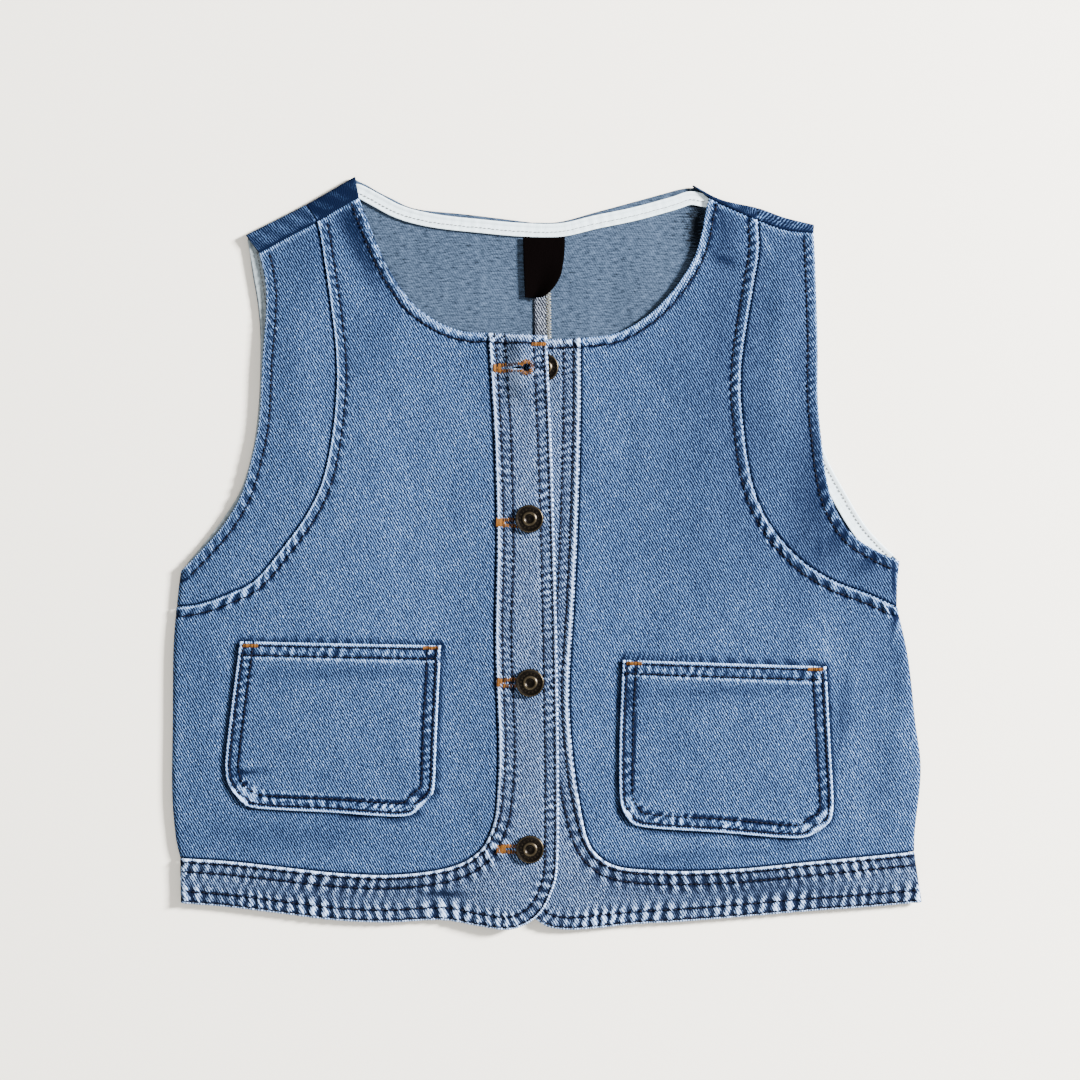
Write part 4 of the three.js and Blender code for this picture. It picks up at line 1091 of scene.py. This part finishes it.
class VEST_OT_back(bpy.types.Operator):
    """Back bodies, back armhole panels and the back hem band, flat on the floor and over the shoulders"""
    bl_idname = "vest.back"
    bl_label = "Back"

    def panel(self, key, lines, xy, fold, seam, name, node_name, seed, keep_shoulder):
        """One back panel: its flat grid, and the rows over the shoulder for its first columns."""
        denim = denim_material()
        _, outward, over, lengths = over_shoulder(fold, seam)
        count = len(fold)
        level = Cloth(lambda p: np.full(p.shape[:-1], BACK_LEVEL), [], half=BACK_HALF)
        # Faded dye and painted shade on the inside of the back, from its table
        wear_and_shade = bells(xy, BACK_FADES_AND_PAINTED_SHADE)
        mid = np.concatenate([xy, np.full(xy.shape[:2] + (1,), BACK_LEVEL)], -1)
        extra = np.repeat(mid[:, -1:], over.shape[1], 1)
        extra[:count] = over
        flat = np.repeat(xy[:, -1:], over.shape[1], 1)
        flat[:count] = xy[:count, -1:] + outward[:, None] * lengths[..., None]
        strip = np.zeros(extra.shape[:2])
        d = away(extra[:count, :, :2], lines["princess"])[0]
        mean, blotches = STRIPS[key]
        edge, run = away(extra[:count, :, :2], lines["shoulder_seam"])
        strip[:count] = (mean + blotches * ripple(run + 0.8 * edge, 11.0, seed) + 0.8 * hump(d, 1.7, 1.0)
                         - 0.7 * hump(d, 0, 1.0) - 1.0 * hump(edge, 0, 1.4))
        rows = xy.shape[1] + over.shape[1]
        keep = np.ones((xy.shape[0] - 1, rows - 1), bool)
        keep[keep_shoulder:, xy.shape[1] - 1:] = False
        lay_cloth(name, xy, level, denim, [node_name], flat=np.concatenate([xy, flat], 1),
                  mid=np.concatenate([mid, extra], 1), wear_and_shade=np.concatenate([wear_and_shade, strip], 1),
                  keep=keep, wrong=(1.0, 0.0))

    def execute(self, context):
        for key, side, lines, hem in (("left", LEFT, L, (0.0, 0.5)), ("right", RIGHT, R, (1.0, 0.5))):
            fold_track, seam_track = by_rows(side["shoulder_fold"]), by_rows(side["shoulder_seam"])
            # Body: the first third of its head is shoulder, the rest neck
            u = stations(200, [0.05, 1.2, 2.8, 5.8, 9.8], TUCKED, 3.0, (1 / 3,))[:, 0]
            v = stations(420, [0.2, 1.4, 2.4, 4, 7, 11], [0.0, 1.4, 2.6, 4.2, 6.5], 3.0)[:, 0]
            corner = int(np.abs(u - 1 / 3).argmin())
            share = 0.5 + 0.5 * np.clip(u * 3, 0, 1)
            fold, seam = at(fold_track, share), at(seam_track, share)
            outward = (fold - seam) / np.linalg.norm(fold - seam, axis=-1)[:, None]
            pull = (FOLD_RADIUS + BACK_HALF) * (1 - rise(u, 1 / 3, 1 / 3 + 0.06))
            neck = at(by_length(side["back_neck"]), np.clip((u - 1 / 3) * 1.5, 0, 1))
            head_points = np.where((u <= 1 / 3 + 1e-9)[:, None], fold, neck) - outward * pull[:, None]
            head = (u, head_points)
            foot = by_rows(column(BACK_HEM, 0, 1), *hem)
            first = at(fold_track, np.array(0.5))
            way = (first - at(seam_track, np.array(0.5)))
            first = first - way / np.linalg.norm(way) * (FOLD_RADIUS + BACK_HALF)
            princess = by_length(side["princess"][:-1] + [first.tolist()])
            inward = [[x - math.copysign(SIDE_INSET, x), y] for x, y in side["body_side"]]
            seam_up = by_length(side["princess"][:-1] + [first.tolist()], SEAM_FROM)
            start = chain((by_length(inward), 4), (seam_up, 9))
            end = (np.array([0.0, 1.0]), np.array([foot[1][-1], side["back_neck"][-1]], float))
            xy = coons(foot, head, start, end, *np.meshgrid(u, v, indexing="ij"))
            self.panel("body_" + key, lines, xy, fold[:corner + 1], seam[:corner + 1],
                       f"back_body_{key}_cloth", f"back_body_{key}", 5, corner)
            # Armhole panel: all of its head goes over the shoulder
            u = stations(40, [0.05, 1.4, 3, 5.5, 8], TUCKED[:5], 3.0)[:, 0]
            v = stations(260, [2.2, 3.4, 5, 8, 12], [0.0, 1.4, 2.6, 4.2, 6.5], 2.6)[:, 0]
            share = 0.5 * u
            fold, seam = at(fold_track, share), at(seam_track, share)
            outward = (fold - seam) / np.linalg.norm(fold - seam, axis=-1)[:, None]
            head = (u, fold - outward * (FOLD_RADIUS + BACK_HALF))
            foot = backwards(by_length(side["panel_side"]))
            armhole = by_length(side["back_armhole"][:-1] + [head[1][0].tolist()])
            xy = coons(foot, head, armhole, princess, *np.meshgrid(u, v, indexing="ij"))
            self.panel("panel_" + key, lines, xy, fold, seam, f"back_armhole_panel_{key}_cloth",
                       f"back_armhole_panel_{key}", 6, len(u))
        hem_top, hem_foot = by_rows(column(BACK_HEM, 0, 1)), by_rows(column(BACK_HEM, 0, 2))
        u = stations(456, [3.6, 4.8, 7, 10], [3.6, 4.8, 7, 10], 2.5)[:, 0]
        s = stations(28, NEAR[:8], [0.2] + NEAR[1:8], 2.0)[:, 0]
        a, b = at(hem_foot, u), at(hem_top, u)
        xy = a[:, None] + (b - a)[:, None] * s[None, :, None]
        lay_cloth("back_hem_band_cloth", xy, Cloth(lambda p: np.full(p.shape[:-1], 0.9), [], half=0.85),
                  denim_material("washed_band_denim", 1.2, 0.2), ["back_hem_band"], wrong=(1.0, 0.0))
        return {"FINISHED"}


def tape_surface(line, width, steps_across, base, seed):
    """A flat folded tape: a strip of even width round a line, its two long edges thicker
    where they fold under, with slight puckers."""
    s = np.linspace(-0.5, 0.5, steps_across)
    xy = line[:, None] + normals(line)[:, None] * (s * width)[None, :, None]
    run, aside = np.meshgrid(run_of(line), s * width, indexing="ij")
    edge = width / 2 - np.abs(aside)
    z = base + 0.22 * (1 - rise(edge, 1.4, 2.4)) + 0.10 * ripple(run, 6.5, seed)
    wear_and_shade = -0.16 * hump(edge, 1.9, 0.5) + 0.06 * ripple(run, 5.0, seed + 3) - 0.05
    flat = np.stack([run, aside], -1)
    return xy, z, wear_and_shade, flat


class VEST_OT_trims(bpy.types.Operator):
    """White bias tapes, the plain label and the edged seam allowance"""
    bl_idname = "vest.trims"
    bl_label = "Tapes and label"

    def execute(self, context):
        tape = weave_material("white_bias_tape", colours().tape, 1400.0, 0.35, 0.8)
        thread = thread_material("tape_thread", colours().tape_thread, 0.5)
        base, thin = DENIM + GAP + 0.5, Cloth(None, [], half=0.3)
        top = Cloth(lambda p: np.full(p.shape[:-1], base), [], half=0.42)
        # The sixth column darkens a tape with painted shade: the left armhole's tape lies in the shadow of the
        # front's edge over it.
        for name, line, width, seed, under, painted_shade, rows in (
                ("neck_tape", evenly(by_length(NECK_TAPE)[1], 1.4), NECK_WIDTH, 3, "back_body_left", 0.0, (-0.12,)),
                ("armhole_tape_left", armhole_tape_line(LEFT), ARMHOLE_WIDTH, 5, "back_armhole_panel_left",
                 0.62, (0.0,)),
                ("armhole_tape_right", armhole_tape_line(RIGHT), ARMHOLE_WIDTH, 8, "back_armhole_panel_right",
                 0.0, (-0.22,))):
            xy, z, wear_and_shade, flat = tape_surface(line, width, 13, base, seed)
            lay_cloth(name + "_cloth", xy, thin, tape, [name], flat=flat,
                      mid=np.concatenate([xy, z[..., None]], -1), wear_and_shade=wear_and_shade - painted_shade, rests_on=[under], turned=1.6)
            sew(name + "_stitches", [stitch_row(line + normals(line) * share * width, top, 2.6, 1.9, wobble=0.08,
                                                seed=seed, trim=(2, 2)) for share in rows],
                thread, [name + "_cloth"], radius=0.2)
        self.label()
        self.allowance()
        return {"FINISHED"}

    def label(self):
        """Black woven label: sections read from its table, its right lower corner curled up."""
        ribbon = weave_material("black_woven_label", colours().label, 1800.0, 0.9, 0.62)
        s, t = np.meshgrid(np.linspace(0, 1, 22), np.linspace(0, 1, 34), indexing="ij")
        section = catmull(LABEL, t)
        xy = np.stack([section[..., 1] + (section[..., 2] - section[..., 1]) * s, section[..., 0]], -1)
        curl = 2.5 * rise(s, 0.4, 1) * rise(t * 5, 1, 5)
        z = DENIM + 0.9 + GAP + 0.5 + curl + 0.25 * np.sin(s * 5 + t * 3) * t
        flat = np.stack([-14 + 26 * s, 196 - 38 * t], -1)
        lay_cloth("label_cloth", xy, Cloth(None, [], half=0.28), ribbon, ["label"], flat=flat,
                  mid=np.concatenate([xy, z[..., None]], -1), wear_and_shade=0 * s, rests_on=["back_body_right"])

    def allowance(self):
        """Seam allowance pressed to the right of the centre-back seam."""
        denim = denim_material("allowance_denim", 1.2, 0.75)
        y = np.linspace(-196, 193, 200)
        x = np.interp(y, [-199.5, 205.5], [-4, -8.3])
        s = np.array([0.3, 1.2, 2.4, 4.0, 5.6, 7.2, 8.6, 9.6, 10.6])
        xy = np.stack(np.broadcast_arrays(x[None] + s[:, None], y[None]), -1)
        wear_and_shade = 0.15 + 0.45 * ripple(y[None] + 0 * s[:, None], 4.0, 2) - 0.7 * hump(s[:, None], 0.3, 0.9)
        z = 1.16 + 0.45 + 0.12 * ripple(y[None] + 0.8 * s[:, None], 7.0, 4)
        lay_cloth("centre_back_allowance", xy, Cloth(None, [], half=0.35), denim, ["back_body_right"],
                  mid=np.concatenate([xy, z[..., None]], -1), wear_and_shade=wear_and_shade, rests_on=["back_body_right"])
        cream = thread_material("cream_thread", colours().cream_thread, 0.4)
        k = np.arange(-195, 192, 1.7)
        edge = np.interp(k, y, x) + 10.6
        a = np.stack([edge - 3.2, k, np.full(len(k), 2.05)], -1)
        b = np.stack([edge + 0.4, k + 0.85, np.full(len(k), 1.95)], -1)
        c = np.stack([edge - 3.2, k + 1.7, np.full(len(k), 2.05)], -1)
        sew("overlock_thread", [np.stack([a, b], 1), np.stack([b, c], 1)], cream,
            ["centre_back_allowance"], radius=0.24)


def armhole_tape_line(side):
    """Line of an armhole's tape: inside the back armhole's edge by half its width."""
    line = by_length(side["back_armhole"])[1]
    line = line[int(0.03 * len(line)):int(0.985 * len(line))]
    return evenly(beside(line, 0.6 + ARMHOLE_WIDTH / 2, (0, 60)), 1.4)


class VEST_OT_sewing(bpy.types.Operator):
    """Topstitching, buttonholes and bar tacks, stitch by stitch"""
    bl_idname = "vest.sewing"
    bl_label = "Sewing"

    def execute(self, context):
        made = cloths()
        pitch = sizes().stitch_pitch
        navy = thread_material("navy_thread", colours().navy_thread, 0.8)
        for key, lines, pocket, inner in (("left", L, LEFT_POCKET, (-110, 40)),
                                          ("right", R, RIGHT_POCKET, (100, 40))):
            body, panel, band = made["body_" + key], made["panel_" + key], made["band_" + key]
            centre, middle = (lines["seam"][-150] + lines["free"][-150]) / 2, np.mean(pocket, axis=0)
            cloth, outline, head = made["pocket_" + key], pocket_outline(pocket), pocket_head(pocket)

            def rows(line, finish, towards, on, seed, trim):
                return [stitch_row(beside(line, place, towards), on, pitch, seed=seed, trim=trim)
                        for place in row_places(finish)]

            sew(f"topstitch_body_{key}", rows(lines["princess"], "lap", inner, body, 3, (2, 1))
                + rows(lines["front_neck"], "neck", inner, body, 4, (1, 1)), navy, [f"front_body_{key}_cloth"])
            sew(f"topstitch_armhole_{key}", rows(lines["front_armhole"], "armhole", lines["princess"][200],
                                                 panel, 5, (3, 1)), navy, [f"front_armhole_panel_{key}_cloth"])
            sew(f"topstitch_band_{key}", rows(lines["seam"], "band_seam", centre, band, 6, (3, 1))
                + rows(lines["free"], "band_edge", centre, band, 7, (3, 1))
                + rows(lines["top"], "neck", centre, band, 8, (1, 1)), navy, [f"front_band_{key}_cloth"])
            sew(f"topstitch_pocket_{key}", rows(outline, "pocket_side", middle, cloth, 9, (4, 4))
                + rows(head, "pocket_top", middle, cloth, 11, (2, 2)), navy, [f"pocket_{key}_cloth"])
        self.orange(made)
        return {"FINISHED"}

    def orange(self, made):
        """Buttonholes: stitches across both lips and round the eye. Bar tacks: close zigzags."""
        thread = thread_material("orange_thread", colours().orange_thread, 1.4)
        band = made["band_left"]
        rng = np.random.default_rng(4)
        rows = []
        for x, y in HOLES:
            k = np.arange(-SLIT_LENGTH, -EYE_RADIUS + 0.4, 0.95)
            for sign in (-1, 1):
                inner = np.stack([x + k, y + sign * (0.5 + 0.8 * rise(k, -SLIT_OPEN - 1, -SLIT_OPEN + 2))], -1)
                outer = np.stack([x + k + rng.normal(0, 0.25, len(k)), y + sign * (3.1 + rng.normal(0, 0.25, len(k)))], -1)
                rows.append((inner, outer))
            a = np.linspace(-2.7, 2.7, 22)
            way = np.stack([np.cos(a), np.sin(a)], -1)
            rows.append((way * (EYE_RADIUS - 0.1) + [x, y], way * (5.2 + rng.normal(0, 0.2, (len(a), 1))) + [x, y]))
            k = np.arange(-SLIT_LENGTH - 4.5, -SLIT_LENGTH + 0.3, 0.6)
            rows.append((np.stack([x + k, y - 3.0 + rng.normal(0, 0.2, len(k))], -1),
                         np.stack([x + k + 0.3, y + 3.0 + rng.normal(0, 0.2, len(k))], -1)))
        rows.append(self.tack(-4.7, 129.0, 8.4, 2.8, 0))
        sew("buttonhole_thread", [self.on_cloth(a, b, band) for a, b in rows], thread,
            ["front_band_left_cloth"], radius=0.31)
        for key, tacks in (("left", ((-183.2, -57.2, -1), (-71.5, -58.6, -1))),
                           ("right", ((54.4, -68.2, -1), (166.5, -71.8, -1)))):
            rows = [self.on_cloth(*self.tack(x, y, 9.0, 2.6, turn), made["pocket_" + key])
                    for x, y, turn in tacks]
            sew(f"bar_tacks_{key}", rows, thread, [f"pocket_{key}_cloth"], radius=0.26)

    def tack(self, x, y, length, height, turn):
        k = np.linspace(-0.5, 0.5, 15) * length
        a, b = np.stack([k, 0 * k - height / 2], -1), np.stack([k + 0.35, 0 * k + height / 2], -1)
        c, s = math.cos(math.radians(turn)), math.sin(math.radians(turn))
        turned = np.array([[c, s], [-s, c]])
        return a @ turned + [x, y], b @ turned + [x, y]

    def on_cloth(self, a, b, cloth):
        high = [np.concatenate([p, cloth.surface(p)[0][:, None] + cloth.half + 0.1], -1) for p in (a, b)]
        return np.stack(high, 1)


class VEST_OT_buttons(bpy.types.Operator):
    """Metal shank buttons, turned from a profile"""
    bl_idname = "vest.buttons"
    bl_label = "Buttons"

    def execute(self, context):
        metal = metal_material()
        top = OVERLAP_RISE + HEAD_HEIGHT
        # Columns: radius, height above the shank's foot, how rubbed the metal is
        profile = [[0, 0, 0], [2.0, 0, 0], [2.0, OVERLAP_RISE - 0.2, 0], [2.3, OVERLAP_RISE, 0],
                   [BUTTON_RADIUS - 1.2, OVERLAP_RISE, 0], [BUTTON_RADIUS - 0.4, OVERLAP_RISE + 0.25, 0.0],
                   [BUTTON_RADIUS, OVERLAP_RISE + 0.8, 0.1], [BUTTON_RADIUS - 0.15, top - 0.45, 0.2],
                   [BUTTON_RADIUS - 0.6, top - 0.12, 0.75], [BUTTON_RADIUS - 1.1, top - 0.15, 0.1],
                   [BUTTON_RADIUS - 1.6, top - 0.5, -0.2], [6.4, top - 0.62, -0.1], [5.6, top - 0.60, 0.0],
                   [4.9, top - 0.66, -0.2], [4.5, top - 0.5, 0.0], [4.15, top - 0.15, 0.7],
                   [3.7, top, 1.0], [3.2, top - 0.05, 0.8], [2.85, top - 0.3, 0.1], [2.5, top - 0.75, -0.2],
                   [1.6, top - 0.95, -0.1], [0.8, top - 0.9, 0.05], [0, top - 0.85, 0.1]]
        for k, (x, y) in enumerate(BUTTONS):
            foot = float(FRONT_LEVEL + bells(np.array([x, y], float), SWELLS)) + FRONT_BAND / 2 + GAP
            self.turned(f"button_{k + 1}_metal", np.array(profile, float), x, y, foot, metal, f"button_{k + 1}", k)
        return {"FINISHED"}

    def turned(self, name, profile, x, y, foot, metal, node_name, seed):
        """Profile turned round Z: each ring of points at the profile's radius and height,
        with the two poles as single points."""
        sides = 64
        a = np.arange(sides) * 2 * np.pi / sides
        rings = profile[1:-1]
        r = rings[:, 0, None] + 0 * a[None]
        # Short raised beads round the dish stand for the pressed pattern of the metal
        beads = 0.10 * np.cos(a * 16 + seed)[None] * hump(rings[:, 0, None], 5.8, 0.7) * (rings[:, 1, None] > 3)
        z = rings[:, 1, None] + beads
        points = np.stack([x + r * np.cos(a), y + r * np.sin(a), foot + z], -1).reshape(-1, 3)
        rub = (rings[:, 2, None] + 0.5 * np.clip(beads, 0, 1) / 0.1 + 0 * a[None]).ravel()
        poles = [[x, y, foot + profile[0, 1]], [x, y, foot + profile[-1, 1]]]
        n = len(points)
        k = np.arange(sides)
        quads = np.vstack([np.stack([i * sides + k, i * sides + (k + 1) % sides, (i + 1) * sides + (k + 1) % sides,
                                     (i + 1) * sides + k], -1) for i in range(len(rings) - 1)])
        low = np.stack([(k + 1) % sides, k, np.full(sides, n)], -1)
        high = np.stack([(len(rings) - 1) * sides + k, (len(rings) - 1) * sides + (k + 1) % sides,
                         np.full(sides, n + 1)], -1)
        make_mesh(name, np.vstack([points, poles]), [quads, np.vstack([low, high])], metal,
                  values={"rub": np.concatenate([rub, [0, profile[-1, 2]]])}, replaces=[node_name])


class VEST_OT_stage(bpy.types.Operator):
    """Plain floor, soft light and the camera straight above"""
    bl_idname = "vest.stage"
    bl_label = "Stage"

    def execute(self, context):
        mesh = bpy.data.meshes.new("floor")
        half = 3.0
        mesh.from_pydata([(-half, -half, -0.0003), (half, -half, -0.0003), (half, half, -0.0003),
                          (-half, half, -0.0003)], [], [(0, 1, 2, 3)])
        mesh.materials.append(floor_material())
        floor = bpy.data.objects.new("floor", mesh)
        context.scene.collection.objects.link(floor)
        world = bpy.data.worlds.new("soft_light")
        world.use_nodes = True
        world.node_tree.nodes["Background"].inputs["Color"].default_value = (1, 1, 1, 1)
        world.node_tree.nodes["Background"].inputs["Strength"].default_value = 0.80
        context.scene.world = world
        for name, place, size, power in (("key_light", (3.1, 1.1, 1.45), 0.6, 1230.0),
                                         ("fill_light", (-0.6, -1.6, 1.8), 1.6, 26.0)):
            lamp = bpy.data.lights.new(name, "AREA")
            lamp.size, lamp.energy = size, power
            light = bpy.data.objects.new(name, lamp)
            light.location = place
            way = -np.array(place)
            light.rotation_euler = (math.acos(-way[2] / np.linalg.norm(way)), 0,
                                    math.atan2(way[1], way[0]) - math.pi / 2)
            context.scene.collection.objects.link(light)
        camera = bpy.data.cameras.new("camera")
        height, frame_width = 1.25, 0.6696
        camera.sensor_width = 36.0
        camera.lens = 36.0 * (height - 0.004) / frame_width
        camera.clip_end = 20
        holder = bpy.data.objects.new("camera", camera)
        holder.location = (-0.0042, 0.0080, height)
        context.scene.collection.objects.link(holder)
        context.scene.camera = holder
        return {"FINISHED"}


class VEST_PT_panel(bpy.types.Panel):
    """The vest's operators and values in the sidebar"""
    bl_idname = "VEST_PT_panel"
    bl_label = "Denim vest"
    bl_space_type = "VIEW_3D"
    bl_region_type = "UI"
    bl_category = "Vest"

    def draw(self, context):
        for operator in OPERATORS:
            self.layout.operator(operator.bl_idname)
        for group in (context.scene.vest_sizes, context.scene.vest_colours):
            for key in group.__annotations__:
                self.layout.prop(group, key)


OPERATORS = (VEST_OT_back, VEST_OT_fronts, VEST_OT_bands, VEST_OT_pockets, VEST_OT_trims, VEST_OT_sewing,
             VEST_OT_buttons, VEST_OT_stage)
CLASSES = (VestSizes, VestColours, *OPERATORS, VEST_PT_panel)


def register():
    for cls in CLASSES:
        bpy.utils.register_class(cls)
    bpy.types.Scene.vest_sizes = bpy.props.PointerProperty(type=VestSizes)
    bpy.types.Scene.vest_colours = bpy.props.PointerProperty(type=VestColours)


def unregister():
    del bpy.types.Scene.vest_sizes, bpy.types.Scene.vest_colours
    for cls in reversed(CLASSES):
        bpy.utils.unregister_class(cls)


def main():
    register()
    for operator in (bpy.ops.vest.back, bpy.ops.vest.fronts, bpy.ops.vest.bands, bpy.ops.vest.pockets,
                     bpy.ops.vest.trims, bpy.ops.vest.sewing, bpy.ops.vest.buttons, bpy.ops.vest.stage):
        operator()


if __name__ == "__main__":
    main()
